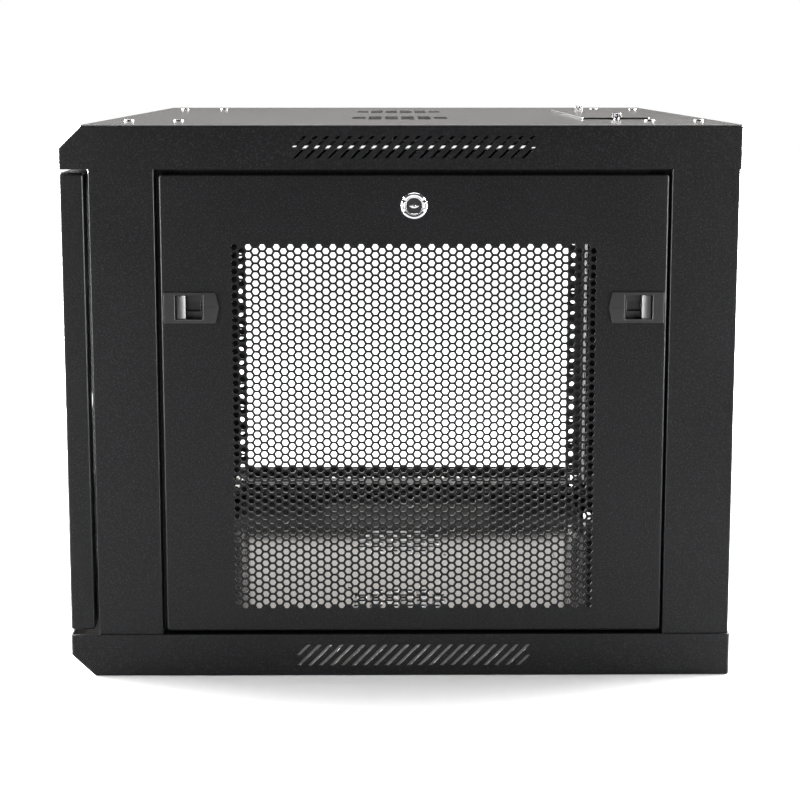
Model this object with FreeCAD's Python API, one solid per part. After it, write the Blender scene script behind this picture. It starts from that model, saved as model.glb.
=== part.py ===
import FreeCAD, Part
import math
import os

# Nine-unit wall-mount network cabinet, in millimetres.
# X runs across the cabinet with +X on its right, -Y is the front, Z is up.
# The origin is the middle of the footprint, on the surface the cabinet stands on.

Vec = FreeCAD.Vector

# Outer envelope
WIDTH = 600.0
DEPTH = 600.0
HEIGHT = 501.0
HALF_W = WIDTH / 2
HALF_D = DEPTH / 2
MID_Z = HEIGHT / 2

# Sheet and fits
SHEET = 1.5
THIN_SHEET = 1.2
PLATE = 2.0
TOUCH = 0.1
GAP = 0.3

# Top and bottom covers: trays with a cut-off front edge
COVER_RIM = 39.0
NOSE_DEPTH = 21.0
NOSE_HEIGHT = 20.0
COVER_BEND = 2.4

# Diagonal vent slots in the covers' side rims
SLOT_COUNT = 20
SLOT_PITCH = 10.0
SLOT_WIDTH = 3.1
SLOT_BAND = (471.7, 491.2)
SLOT_MID_Y = 11.5

# Fan places in the covers
FAN_X = 110.0
FAN_GRID = 6
FAN_CELL = 13.0
FAN_PITCH = 16.2
FAN_SCREW_SPACING = 105.0
FAN_SCREW_R = 2.2

# Cable entries near the back of the covers
ENTRY_Y = 208.5
ENTRY_CUT = (280.0, 49.0)
ENTRY_PLATE = (304.0, 65.0)
ENTRY_SCREW_X = 155.0

# Corner screws of the covers and the gussets they pull on
CORNER_SCREW_X = 205.0
FRONT_SCREW_Y = (-252.0, -206.0)
REAR_SCREW_Y = (232.0, 278.0)
SCREW_R = 2.5
SCREW_NUT = 8.0
HEAD_R = 4.6
HEAD_HEIGHT = 1.6
GUSSET_X = (192.0, 296.8)
GUSSET_TAB = 28.0

# Posts
POST_FACE_X = HALF_W - SHEET - TOUCH
FRONT_POST_Y = (-274.5, -216.6)
REAR_POST_Y = (238.3, 298.4)
INNER_LEG_X = 262.0
STOP_X = 283.0
STOP_LIP = 12.6
POST_BEND = 1.4
POST_END = 2.6
LEG_END = 8.0
REAR_JOG_X = 274.0

# Side sills and side panel
SILL_Z = (37.5, 46.5)
PANEL_Y = (-212.8, 236.2)
PANEL_Z = (41.5, 457.6)
PANEL_FACE_X = 297.0
PANEL_RIM = 12.0
PANEL_BEND = 1.2
TAB_SPREAD = 150.0
TAB_HALF = 10.0
TAB_LIFT = 0.6
PANEL_MID_Y = (PANEL_Y[0] + PANEL_Y[1]) / 2

# Depth bars, which carry the rack rails
BAR_X = (235.0, 261.9)
BAR_Y = (-272.5, 295.0)
BAR_Z = (23.7, 37.7)
BAR_SLOT_X = 247.0
BAR_SLOT_WIDTH = 6.5
RAIL_TRAVEL = 150.0

# Rack rails, to the 19-inch standard
RACK_UNIT = 44.45
RACK_UNITS = 9
HOLE_OFFSETS = (6.35, 22.225, 38.1)
RACK_HOLE_X = 465.1 / 2
RACK_HOLE = 9.5
SIDE_HOLE_R = 3.2
SIDE_HOLE_Y = 15.0
RAIL_X = (225.0, 257.5)
RAIL_DEPTH = 22.0
FRONT_RAIL_Y = -210.0
REAR_RAIL_Y = 232.0
RAIL_Z = (BAR_Z[1] + GAP, HEIGHT - BAR_Z[1] - GAP)

# Door
DOOR_Y = (-300.0, -278.3)
DOOR_HALF_W = 299.0
DOOR_Z = (43.1, 459.1)
DOOR_RETURN = 16.0
DOOR_BEND = 2.0
HINGE = (-293.0, -291.0)
HINGE_PIN_R = 3.0
HINGE_PLAY = 0.06
DOOR_LOCK = (272.0, MID_Z)
LOCK_SEAT_R = 17.0

# Cam locks
LOCK_FLANGE_R = 12.0
LOCK_BARREL_R = 9.0
LOCK_ROTOR_R = 6.9
LOCK_PLAY = 0.1
LOCK_PROUD = 1.6
LOCK_DEPTH = 15.0
CAM_REACH = 22.0
SIDE_LOCK = (PANEL_MID_Y, 429.8)

# Slide latches of the side panel
LATCH_Z = 339.4
LATCH_FRONT_Y = -185.5
LATCH_SIZE = (49.0, 27.7)
LATCH_POINT = 3.0
LATCH_BACK = 10.0
LATCH_WINDOW = (24.0, 21.5)
LATCH_FLANGE = 1.9
LATCH_STEP = 2.2
LATCH_POCKET = 11.5
FINGER_DEPTH = 8.0
FINGER_WIDTH = 8.0
NECK_HALF = 4.0
TONGUE_X = (279.5, 282.5)
TONGUE_HALF = 7.0
TONGUE_START = 11.5

# Rear panel and its wall bolts
REAR_PANEL_X = 273.6
REAR_PANEL_Z = (45.0, 456.0)
WALL_BOLT_X = 200.0
WALL_BOLT_Z = (60.5, 440.5)
WALL_BOLT_R = 4.5


def block(x, y, z):
    """A box between the low and high value of each axis."""
    corner = Vec(min(x), min(y), min(z))
    return Part.makeBox(abs(x[1] - x[0]), abs(y[1] - y[0]), abs(z[1] - z[0]), corner)


def rod(radius, start, along, length):
    """A round bar from a start point along a direction."""
    return Part.makeCylinder(radius, length, Vec(*start), Vec(*along))


def prism_x(outline, x):
    """A Y-Z outline drawn out along X between two values."""
    points = [Vec(x[0], y, z) for y, z in outline]
    face = Part.Face(Part.makePolygon(points + points[:1]))
    return face.extrude(Vec(x[1] - x[0], 0, 0))


def hexagon_bar(across_flats, start, along, length):
    """A hexagonal bar along X or Z, used for nuts."""
    radius = across_flats / math.sqrt(3)
    corners = []
    for step in range(7):
        angle = math.radians(60 * step)
        c, s = radius * math.cos(angle), radius * math.sin(angle)
        offset = {(1, 0, 0): (0, c, s), (0, 1, 0): (c, 0, s), (0, 0, 1): (c, s, 0)}[along]
        corners.append(Vec(*start) + Vec(*offset))
    return Part.Face(Part.makePolygon(corners)).extrude(Vec(*along) * length)


def joined(shapes):
    """One solid from several that touch or overlap."""
    return shapes[0].multiFuse(shapes[1:]).removeSplitter()


def flip_x(shape):
    """The same shape on the other side of the cabinet."""
    return shape.mirror(Vec(0, 0, 0), Vec(1, 0, 0))


def flip_z(shape):
    """The same shape at the other end of the cabinet's height."""
    return shape.mirror(Vec(0, 0, MID_Z), Vec(0, 0, 1))


def flip_panel_y(shape):
    """The same shape at the other end of the side panel."""
    return shape.mirror(Vec(0, PANEL_MID_Y, 0), Vec(0, 1, 0))


def save(name, *solids):
    """Writes one sub-part, made of one solid or a group of separate ones."""
    shape = solids[0] if len(solids) == 1 else Part.makeCompound(list(solids))
    if not shape.isValid():
        raise ValueError(name + " is not a valid shape")
    shape.exportStep("parts/" + name + ".step")


# Covers

def nose_outline(inset):
    """The cover's Y-Z outline, moved inwards by a sheet thickness."""
    slope = NOSE_HEIGHT / NOSE_DEPTH
    drop = inset * math.hypot(1, slope)
    front = -HALF_D + inset
    roof = HEIGHT - inset
    shoulder = HEIGHT - NOSE_HEIGHT + inset * slope - drop
    crown = -HALF_D + (roof - HEIGHT + NOSE_HEIGHT + drop) / slope
    foot = HEIGHT - COVER_RIM
    return [(front, foot), (front, shoulder), (crown, roof), (HALF_D - inset, roof), (HALF_D - inset, foot)]


def tray(inset, radius):
    """The solid bounded by the cover's outline, with its folded edges rounded."""
    half = HALF_W - inset
    solid = prism_x(nose_outline(inset), (-half, half))
    foot = HEIGHT - COVER_RIM
    bends = [edge for edge in solid.Edges if edge.BoundBox.ZMax > foot + 1]
    return solid.makeFillet(radius, bends)


def slot_outline(middle, lean, low, high):
    """One diagonal slot; lean is +1 where it rises towards the back."""
    band_mid = sum(SLOT_BAND) / 2
    half = SLOT_WIDTH / 2
    foot = middle + lean * (low - band_mid)
    head = middle + lean * (high - band_mid)
    return [(foot - half, low), (foot + half, low), (head + half, high), (head - half, high)]


def side_slots(side):
    """The row of diagonal slots in one side rim, cut off square at both ends."""
    low, high = SLOT_BAND
    middle = (low + high) / 2
    x = (side * (HALF_W - 3 * SHEET), side * (HALF_W + SHEET))
    slots = []
    for index in range(SLOT_COUNT):
        y = SLOT_MID_Y + (index - (SLOT_COUNT - 1) / 2) * SLOT_PITCH
        slots.append(prism_x(slot_outline(y, side, low, high), x))
    end = (SLOT_COUNT + 1) / 2 * SLOT_PITCH
    slots.append(prism_x(slot_outline(SLOT_MID_Y - side * end, side, middle, high), x))
    slots.append(prism_x(slot_outline(SLOT_MID_Y + side * end, side, low, middle), x))
    return slots


def fan_place(x):
    """Square air holes in a rounded block, with the fan's four screw holes."""
    z = (HEIGHT - 3 * SHEET, HEIGHT + SHEET)
    half = FAN_CELL / 2
    holes = []
    for column in range(FAN_GRID):
        for row in range(FAN_GRID):
            if column in (0, FAN_GRID - 1) and row in (0, FAN_GRID - 1):
                continue
            cx = x + (column - (FAN_GRID - 1) / 2) * FAN_PITCH
            cy = (row - (FAN_GRID - 1) / 2) * FAN_PITCH
            holes.append(block((cx - half, cx + half), (cy - half, cy + half), z))
    for sx in (-1, 1):
        for sy in (-1, 1):
            centre = (x + sx * FAN_SCREW_SPACING / 2, sy * FAN_SCREW_SPACING / 2, z[0])
            holes.append(rod(FAN_SCREW_R, centre, (0, 0, 1), z[1] - z[0]))
    return holes


def corner_screw_places():
    """X and Y of the eight screws of one cover."""
    return [(side * CORNER_SCREW_X, y) for side in (-1, 1) for y in FRONT_SCREW_Y + REAR_SCREW_Y]


def make_cover():
    """The top cover; the bottom cover is the same part turned over."""
    shell = tray(0, COVER_BEND).cut(tray(SHEET, COVER_BEND - SHEET))
    z = (HEIGHT - 3 * SHEET, HEIGHT + SHEET)
    half_x, half_y = ENTRY_CUT[0] / 2, ENTRY_CUT[1] / 2
    cuts = side_slots(1) + side_slots(-1) + fan_place(FAN_X) + fan_place(-FAN_X)
    cuts.append(block((-half_x, half_x), (ENTRY_Y - half_y, ENTRY_Y + half_y), z))
    for x, y in corner_screw_places():
        cuts.append(rod(SCREW_R + TOUCH, (x, y, z[0]), (0, 0, 1), z[1] - z[0]))
    for side in (-1, 1):
        cuts.append(rod(SCREW_R, (side * ENTRY_SCREW_X, ENTRY_Y, z[0]), (0, 0, 1), z[1] - z[0]))
    return shell.cut(cuts)


def turned_over(shape):
    """The same part turned over about the front-to-back axis."""
    turned = shape.copy()
    turned.rotate(Vec(0, 0, MID_Z), Vec(0, 1, 0), 180)
    return turned


def pan_screw(x, y, seat, grip):
    """A pan-head screw with its nut, pointing down from its seat."""
    head = rod(HEAD_R, (x, y, seat), (0, 0, 1), HEAD_HEIGHT)
    head = head.makeFillet(HEAD_HEIGHT / 2, [head.Edges[0]])
    reach, half = 2.6, 0.6
    z = (seat + HEAD_HEIGHT / 2, seat + 2 * HEAD_HEIGHT)
    recess = block((x - half, x + half), (y - reach, y + reach), z)
    cross = block((x - reach, x + reach), (y - half, y + half), z)
    shank = rod(SCREW_R, (x, y, seat - grip - 5), (0, 0, 1), grip + 5)
    nut = hexagon_bar(SCREW_NUT, (x, y, seat - grip - 3.5), (0, 0, 1), 3.5)
    return joined([head.cut([recess, cross]), shank, nut])


def make_gussets():
    """Four corner plates under the top cover, each with a tab welded to its post."""
    roof = HEIGHT - SHEET - TOUCH
    plates = []
    for pair in (FRONT_SCREW_Y, REAR_SCREW_Y):
        y = (pair[0] - 9.5, pair[1] + 11.0)
        plate = block(GUSSET_X, y, (roof - PLATE, roof))
        tab = block((GUSSET_X[1] - PLATE, GUSSET_X[1]), y, (roof - GUSSET_TAB, roof))
        holes = [rod(SCREW_R + TOUCH, (CORNER_SCREW_X, hole_y, roof - 5), (0, 0, 1), 6) for hole_y in pair]
        gusset = joined([plate, tab]).cut(holes)
        plates += [gusset, flip_x(gusset)]
    return plates


# Frame

def corner_edges(post, x, ends):
    """The upright edges of a post's outer face, which are rounded as bends."""
    found = []
    for edge in post.Edges:
        box = edge.BoundBox
        upright = box.ZLength > 300 and box.XLength < 0.01
        if upright and abs(box.XMax - x) < 0.01 and min(abs(box.YMax - y) for y in ends) < 0.01:
            found.append(edge)
    return found


def make_front_post():
    """The right front post: a folded channel with a stop lip for the side panel."""
    y = FRONT_POST_Y
    outer = POST_FACE_X
    full = (POST_END, HEIGHT - POST_END)
    clear = (COVER_RIM + TOUCH, HEIGHT - COVER_RIM - TOUCH)
    post = joined([
        block((outer - SHEET, outer), y, full),
        block((INNER_LEG_X, outer), (y[0], y[0] + SHEET), full),
        block((INNER_LEG_X, INNER_LEG_X + SHEET), (y[0], y[0] + 12.5), full),
        block((STOP_X, outer), (y[1] - SHEET, y[1]), clear),
        block((STOP_X, STOP_X + SHEET), (y[1] - SHEET, y[1] + STOP_LIP), clear),
    ])
    return post.makeFillet(POST_BEND, corner_edges(post, outer, y))


def make_rear_post():
    """The right rear post, joggled so that the rear panel lies flush in it."""
    y = REAR_POST_Y
    outer = POST_FACE_X
    full = (POST_END, HEIGHT - POST_END)
    leg = (LEG_END, HEIGHT - LEG_END)
    clear = (COVER_RIM + TOUCH, HEIGHT - COVER_RIM - TOUCH)
    lip = (y[1] - 2 * (SHEET + TOUCH), y[1] - SHEET - 2 * TOUCH)
    post = joined([
        block((outer - SHEET, outer), y, full),
        block((REAR_JOG_X, outer), (y[1] - SHEET, y[1]), full),
        block((REAR_JOG_X, REAR_JOG_X + SHEET), (lip[0], y[1]), full),
        block((INNER_LEG_X, REAR_JOG_X + SHEET), lip, full),
        block((INNER_LEG_X, INNER_LEG_X + SHEET), (lip[1] - 16.5, lip[1]), leg),
        block((STOP_X, outer), (y[0], y[0] + SHEET), clear),
        block((STOP_X, STOP_X + SHEET), (y[0] - STOP_LIP, y[0] + SHEET), clear),
    ])
    return post.makeFillet(POST_BEND, corner_edges(post, outer, y))


def make_sill():
    """The right bottom sill, an angle between the two posts that the side panel stands on."""
    y = (FRONT_POST_Y[1] + TOUCH, REAR_POST_Y[0] - TOUCH)
    lip_y = (FRONT_POST_Y[1] + STOP_LIP + TOUCH, REAR_POST_Y[0] - STOP_LIP - TOUCH)
    web = block((STOP_X, POST_FACE_X), y, (SILL_Z[0], SILL_Z[0] + SHEET))
    lip = block((STOP_X, STOP_X + SHEET), lip_y, SILL_Z)
    return joined([web, lip])


def bar_slot(screw_y, travel):
    """The long slot that lets a rail's screw move with the rail."""
    ends = sorted((screw_y, screw_y + travel))
    half = BAR_SLOT_WIDTH / 2
    z = (BAR_Z[1] - 2 * SHEET, BAR_Z[1] + SHEET)
    middle = block((BAR_SLOT_X - half, BAR_SLOT_X + half), ends, z)
    caps = [rod(half, (BAR_SLOT_X, y, z[0]), (0, 0, 1), z[1] - z[0]) for y in ends]
    return [middle] + caps


def make_depth_bar():
    """The right bottom depth bar: a channel, open inwards, slotted along its upper flange."""
    x, y, z = BAR_X, BAR_Y, BAR_Z
    channel = joined([
        block((x[1] - SHEET, x[1]), y, z),
        block(x, y, (z[1] - SHEET, z[1])),
        block(x, y, (z[0], z[0] + SHEET)),
    ])
    slots = bar_slot(FRONT_RAIL_Y + 12, RAIL_TRAVEL) + bar_slot(REAR_RAIL_Y - 12, -RAIL_TRAVEL)
    screws = [rod(SCREW_R, (x[0], hole_y, sum(z) / 2), (1, 0, 0), 40) for hole_y in bar_screw_places()]
    return channel.cut(slots + screws)


def bar_screw_places():
    """Y of the screws that hold a depth bar to the posts' inner legs."""
    return (FRONT_POST_Y[0] + 7.5, REAR_POST_Y[1] - 12.5)


def make_bar_screws():
    """Screws through the ends of the right bottom depth bar, heads inside the channel."""
    screws = []
    web = BAR_X[1] - SHEET
    z = sum(BAR_Z) / 2
    for y in bar_screw_places():
        head = hexagon_bar(SCREW_NUT, (web - 3.5, y, z), (1, 0, 0), 3.5)
        shank = rod(SCREW_R, (web - 1, y, z), (1, 0, 0), SHEET + 1)
        screws.append(joined([head, shank]))
    return screws


def rear_screw_places():
    """X and Z of the right-hand screws of the rear panel."""
    return [(REAR_PANEL_X - 5.5, z) for z in (80.0, MID_Z, HEIGHT - 80.0)]


def make_rear_panel():
    """The rear panel, with the four holes for the wall bolts."""
    y = (REAR_POST_Y[1] - SHEET - TOUCH, REAR_POST_Y[1] - TOUCH)
    sheet = block((-REAR_PANEL_X, REAR_PANEL_X), y, REAR_PANEL_Z)
    rib_x = (-WALL_BOLT_X, WALL_BOLT_X)
    ribs = [block(rib_x, (y[0] - 9, y[0]), (z, z + SHEET)) for z in (REAR_PANEL_Z[0], REAR_PANEL_Z[1] - SHEET)]
    holes = []
    for side in (-1, 1):
        for z in WALL_BOLT_Z:
            holes.append(rod(WALL_BOLT_R, (side * WALL_BOLT_X, y[0] - 1, z), (0, 1, 0), 4))
        for x, z in rear_screw_places():
            holes.append(rod(2.0, (side * x, y[0] - 1, z), (0, 1, 0), 4))
    return joined([sheet] + ribs).cut(holes)


def make_rear_screws():
    """Flat screws that hold the rear panel to the joggled lips of the posts."""
    face = REAR_POST_Y[1] - TOUCH
    screws = []
    for x, z in rear_screw_places():
        head = rod(3.8, (x, face, z), (0, 1, 0), 1.4)
        shank = rod(2.0, (x, face - SHEET - 0.05, z), (0, 1, 0), SHEET + 0.05)
        screws.append(joined([head, shank]))
    return screws + [flip_x(screw) for screw in screws]


# Rack rails

def make_front_rail():
    """The right front rail: an angle with square holes and a foot at each end."""
    y0 = FRONT_RAIL_Y
    face = block(RAIL_X, (y0, y0 + PLATE), RAIL_Z)
    side = block((RAIL_X[1] - PLATE, RAIL_X[1]), (y0, y0 + RAIL_DEPTH), RAIL_Z)
    foot = block((239.0, RAIL_X[1]), (y0, y0 + RAIL_DEPTH), (RAIL_Z[0], RAIL_Z[0] + PLATE))
    head = flip_z(foot)
    holes = []
    half = RACK_HOLE / 2
    bottom = MID_Z - RACK_UNITS * RACK_UNIT / 2 - 2.9
    for unit in range(RACK_UNITS):
        for offset in HOLE_OFFSETS:
            z = bottom + unit * RACK_UNIT + offset
            holes.append(block((RACK_HOLE_X - half, RACK_HOLE_X + half), (y0 - 1, y0 + 3), (z - half, z + half)))
            holes.append(rod(SIDE_HOLE_R, (RAIL_X[1] - 4, y0 + SIDE_HOLE_Y, z), (1, 0, 0), 6))
    for z in (RAIL_Z[0] - 1, RAIL_Z[1] - PLATE - 1):
        holes.append(rod(SCREW_R, (BAR_SLOT_X, y0 + 12, z), (0, 0, 1), 4))
    return joined([face, side, foot, head]).cut(holes)


def make_front_rail_screws():
    """Screw and nut at each foot of the right front rail, through the depth bars' slots."""
    y = FRONT_RAIL_Y + 12
    top = RAIL_Z[0] + PLATE
    nut_top = BAR_Z[1] - SHEET - GAP
    head = hexagon_bar(SCREW_NUT, (BAR_SLOT_X, y, top), (0, 0, 1), 3.5)
    shank = rod(SCREW_R, (BAR_SLOT_X, y, nut_top - 6), (0, 0, 1), top - nut_top + 6)
    nut = hexagon_bar(10.0, (BAR_SLOT_X, y, nut_top - 4), (0, 0, 1), 4)
    lower = joined([head, shank, nut])
    return [lower, flip_z(lower)]


def to_rear(shape):
    """A front rail's shape at the back of the cabinet, facing backwards."""
    return shape.mirror(Vec(0, (FRONT_RAIL_Y + REAR_RAIL_Y) / 2, 0), Vec(0, 1, 0))


# Cable covers

def make_entry_plate(z):
    """A flat plate over a cable entry."""
    half_x, half_y = ENTRY_PLATE[0] / 2, ENTRY_PLATE[1] / 2
    plate = block((-half_x, half_x), (ENTRY_Y - half_y, ENTRY_Y + half_y), z)
    corners = [edge for edge in plate.Edges if edge.BoundBox.ZLength > 1]
    return plate.makeFillet(2.0, corners)


def make_thumb_screws(seat):
    """The two knurled screws whose heads clamp the ends of a cable cover."""
    screws = []
    reach = THIN_SHEET + 2 * GAP
    for side in (-1, 1):
        x = side * ENTRY_SCREW_X
        collar = rod(SCREW_R, (x, ENTRY_Y, seat - SHEET), (0, 0, 1), SHEET + reach)
        head = rod(4.4, (x, ENTRY_Y, seat + reach), (0, 0, 1), 4.2)
        screws.append(joined([collar, head]))
    return screws


# Cam locks, built at the origin with the axis along +Z pointing out of the panel.
# The cams are short: they stop just before the frame that they would hook behind.

def lock_parts(sheet):
    """Barrel, nut, rotor and cam of a cam lock in a sheet whose outer face is Z = 0."""
    flange = rod(LOCK_FLANGE_R, (0, 0, 0), (0, 0, 1), LOCK_PROUD)
    body = rod(LOCK_BARREL_R, (0, 0, -LOCK_DEPTH), (0, 0, 1), LOCK_DEPTH)
    bore = rod(LOCK_ROTOR_R + LOCK_PLAY, (0, 0, -LOCK_DEPTH - 1), (0, 0, 1), LOCK_DEPTH + 5)
    barrel = joined([flange, body]).cut(bore)
    nut = hexagon_bar(22.0, (0, 0, -sheet - 3.0 - 0.05), (0, 0, 1), 3.0)
    nut = nut.cut(rod(LOCK_BARREL_R, (0, 0, -sheet - 4), (0, 0, 1), 5))
    rotor = rod(LOCK_ROTOR_R, (0, 0, -LOCK_DEPTH - 0.5), (0, 0, 1), LOCK_DEPTH + LOCK_PROUD + 0.3)
    key = [Vec(0, -4.2, 0), Vec(1.5, 0, 0), Vec(0, 4.2, 0), Vec(-1.5, 0, 0), Vec(0, -4.2, 0)]
    keyway = Part.Face(Part.makePolygon(key)).extrude(Vec(0, 0, 6))
    keyway.translate(Vec(0, 0, -4))
    rotor = rotor.cut(keyway)
    back = -LOCK_DEPTH - 0.5
    cam = joined([
        rod(7.5, (0, 0, back - PLATE), (0, 0, 1), PLATE),
        block((0, CAM_REACH), (-5, 5), (back - PLATE, back)),
    ])
    return {"barrel": barrel, "nut": nut, "rotor": rotor, "cam": cam}


def to_side_panel(shape):
    """A lock part placed on the side panel, its axis out along +X and its cam pointing up."""
    placed = shape.copy()
    placed.rotate(Vec(0, 0, 0), Vec(0, 1, 0), 90)
    placed.rotate(Vec(0, 0, 0), Vec(1, 0, 0), 180)
    placed.translate(Vec(PANEL_FACE_X, SIDE_LOCK[0], SIDE_LOCK[1]))
    return placed


def to_door(shape):
    """A lock part placed on the door, its axis out along -Y and its cam towards the post."""
    placed = shape.copy()
    placed.rotate(Vec(0, 0, 0), Vec(1, 0, 0), 90)
    placed.translate(Vec(DOOR_LOCK[0], DOOR_Y[0] + LOCK_PROUD, DOOR_LOCK[1]))
    return placed


# Side panel and its latches

def latch_outline(inset):
    """The latch housing's pentagon, its point towards the middle of the panel."""
    back = LATCH_FRONT_Y - LATCH_SIZE[0] / 2 + inset
    tip = LATCH_FRONT_Y + LATCH_SIZE[0] / 2 - inset * 1.3
    shoulder = tip - LATCH_POINT + inset * 0.3
    half = LATCH_SIZE[1] / 2 - inset
    low, high = LATCH_Z - half, LATCH_Z + half
    return [(back, low), (shoulder, low), (tip, LATCH_Z), (shoulder, high), (back, high)]


def latch_window():
    """Y range of the finger window in the front latch."""
    start = LATCH_FRONT_Y - LATCH_SIZE[0] / 2 + LATCH_BACK
    return (start, start + LATCH_WINDOW[0])


def make_latch_housing():
    """The front latch's housing: a flange outside the panel and a pocket behind it."""
    face = PANEL_FACE_X
    flange = prism_x(latch_outline(0), (face, face + LATCH_FLANGE))
    pocket = prism_x(latch_outline(LATCH_STEP), (face - LATCH_POCKET, face))
    y = latch_window()
    half = LATCH_WINDOW[1] / 2
    window = block((face - FINGER_DEPTH, face + 2 * LATCH_FLANGE), y, (LATCH_Z - half, LATCH_Z + half))
    slot = NECK_HALF + 0.5
    neck = block((face - LATCH_POCKET - 1, face), (y[0] + 1, y[1] - 1), (LATCH_Z - slot, LATCH_Z + slot))
    return joined([flange, pocket]).cut([window, neck])


def make_latch_slider():
    """The front latch's slider: a scooped finger piece, a neck and a tongue behind the panel."""
    face = PANEL_FACE_X
    y = latch_window()
    half = LATCH_WINDOW[1] / 2 - GAP
    start = y[0] + GAP + 1
    floor = face - FINGER_DEPTH + GAP
    end = start + FINGER_WIDTH
    finger = block((floor, face + 1.2), (start, end), (LATCH_Z - half, LATCH_Z + half))
    scoop = rod(FINGER_WIDTH + 1, (face + 6.6, end - 2.4, LATCH_Z - half + 2), (0, 0, 1), 2 * half - 4)
    neck_z = (LATCH_Z - NECK_HALF, LATCH_Z + NECK_HALF)
    neck = block((TONGUE_X[1] - 1, floor + 1), (start + 1.8, end - 0.5), neck_z)
    tongue_z = (LATCH_Z - TONGUE_HALF, LATCH_Z + TONGUE_HALF)
    tongue = block(TONGUE_X, (PANEL_Y[0] + TONGUE_START, end + 2), tongue_z)
    return joined([finger.cut(scoop), neck, tongue])


def make_side_panel():
    """The removable side panel: a sheet with folded rims and two locating tabs below."""
    face, inner = PANEL_FACE_X, PANEL_FACE_X - PANEL_RIM
    outer = block((inner, face), PANEL_Y, PANEL_Z)
    bends = [edge for edge in outer.Edges if edge.BoundBox.XMin > inner + 1]
    outer = outer.makeFillet(PANEL_BEND, bends)
    y = (PANEL_Y[0] + THIN_SHEET, PANEL_Y[1] - THIN_SHEET)
    z = (PANEL_Z[0] + THIN_SHEET, PANEL_Z[1] - THIN_SHEET)
    shell = outer.cut(block((inner - 1, face - THIN_SHEET), y, z))
    tabs = []
    shelf = (SILL_Z[1] + TAB_LIFT, SILL_Z[1] + TAB_LIFT + SHEET)
    for offset in (-TAB_SPREAD, TAB_SPREAD):
        tab_y = (PANEL_MID_Y + offset - TAB_HALF, PANEL_MID_Y + offset + TAB_HALF)
        tabs.append(block((inner, inner + SHEET), tab_y, (PANEL_Z[0] + SHEET / 2, shelf[1])))
        tabs.append(block((STOP_X - 7, inner + SHEET), tab_y, shelf))
    latch_hole = prism_x(latch_outline(LATCH_STEP), (face - 3, face + 1))
    lock_hole = rod(LOCK_BARREL_R, (face - 3, SIDE_LOCK[0], SIDE_LOCK[1]), (1, 0, 0), 4)
    return joined([shell] + tabs).cut([latch_hole, flip_panel_y(latch_hole), lock_hole])


# Door

def make_door():
    """The door: a deep tray with an inward return all round and a hole for its lock."""
    x = (-DOOR_HALF_W, DOOR_HALF_W)
    outer = block(x, DOOR_Y, DOOR_Z)
    bends = [edge for edge in outer.Edges if edge.BoundBox.YMax < DOOR_Y[1] - 1]
    outer = outer.makeFillet(DOOR_BEND, bends)
    hollow = block(
        (x[0] + SHEET, x[1] - SHEET),
        (DOOR_Y[0] + SHEET, DOOR_Y[1] - SHEET),
        (DOOR_Z[0] + SHEET, DOOR_Z[1] - SHEET),
    )
    mouth = block(
        (x[0] + DOOR_RETURN, x[1] - DOOR_RETURN),
        (DOOR_Y[1] - 2 * SHEET, DOOR_Y[1] + 1),
        (DOOR_Z[0] + DOOR_RETURN, DOOR_Z[1] - DOOR_RETURN),
    )
    pin_hole = rod(HINGE_PIN_R, (HINGE[0], HINGE[1], 0), (0, 0, 1), HEIGHT)
    shell = outer.cut([hollow, mouth, pin_hole])
    centre = (DOOR_LOCK[0], DOOR_Y[0] + SHEET, DOOR_LOCK[1])
    seat = rod(LOCK_SEAT_R, centre, (0, 1, 0), SHEET + TOUCH)
    recess = rod(LOCK_FLANGE_R + TOUCH, (centre[0], DOOR_Y[0] - 1, centre[2]), (0, 1, 0), 1 + LOCK_PROUD)
    lock_hole = rod(LOCK_BARREL_R, (centre[0], DOOR_Y[0] - 1, centre[2]), (0, 1, 0), 6)
    return joined([shell, seat]).cut([recess, lock_hole])


def make_hinge_pin():
    """The upper hinge pin with the collar that keeps it in the door."""
    top = DOOR_Z[1] + 2.6
    pin = rod(HINGE_PIN_R, (HINGE[0], HINGE[1], DOOR_Z[1] - 24), (0, 0, 1), top - DOOR_Z[1] + 24)
    collar = rod(4.2, (HINGE[0], HINGE[1], DOOR_Z[1] - SHEET - 6), (0, 0, 1), 6)
    return joined([pin, collar])


def make_hinge_bracket():
    """The upper hinge bracket, an angle on the front of the left front post."""
    y_back = FRONT_POST_Y[0] - TOUCH
    x = (-298.0, -274.0)
    z0 = DOOR_Z[1] + 0.6
    z1 = HEIGHT - COVER_RIM - GAP
    plate = block(x, (-297.5, y_back), (z0, z1))
    tab = block(x, (y_back - PLATE, y_back), (z0, z1 + 20))
    hole = rod(HINGE_PIN_R + HINGE_PLAY, (HINGE[0], HINGE[1], z0 - 1), (0, 0, 1), 6)
    return joined([plate, tab]).cut(hole)


def make_bracket_screw():
    """The button-head screw that holds the upper hinge bracket."""
    y = FRONT_POST_Y[0] - TOUCH - PLATE
    return rod(4.2, (-286.0, y - 2.4, HEIGHT - COVER_RIM + 10), (0, 1, 0), 2.4)


# The sub-parts

os.makedirs("parts", exist_ok=True)

cover = make_cover()
save("top_cover", cover)
save("bottom_cover", turned_over(cover))

cover_grip = SHEET + TOUCH + PLATE
top_screws = [pan_screw(x, y, HEIGHT, cover_grip) for x, y in corner_screw_places()]
gussets = make_gussets()
save("top_gussets", *gussets)
save("bottom_gussets", *[flip_z(gusset) for gusset in gussets])
save("top_cover_screws", *top_screws)

# The bottom screws have their heads inside, so that the cabinet stands on its flat bottom.
inside = PLATE + TOUCH + SHEET
bottom_screws = []
for x, y in corner_screw_places():
    shank = rod(SCREW_R, (x, y, 0.2), (0, 0, 1), inside - 0.2)
    bottom_screws.append(joined([shank, hexagon_bar(SCREW_NUT, (x, y, inside), (0, 0, 1), 4.0)]))
save("bottom_cover_screws", *bottom_screws)

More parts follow.
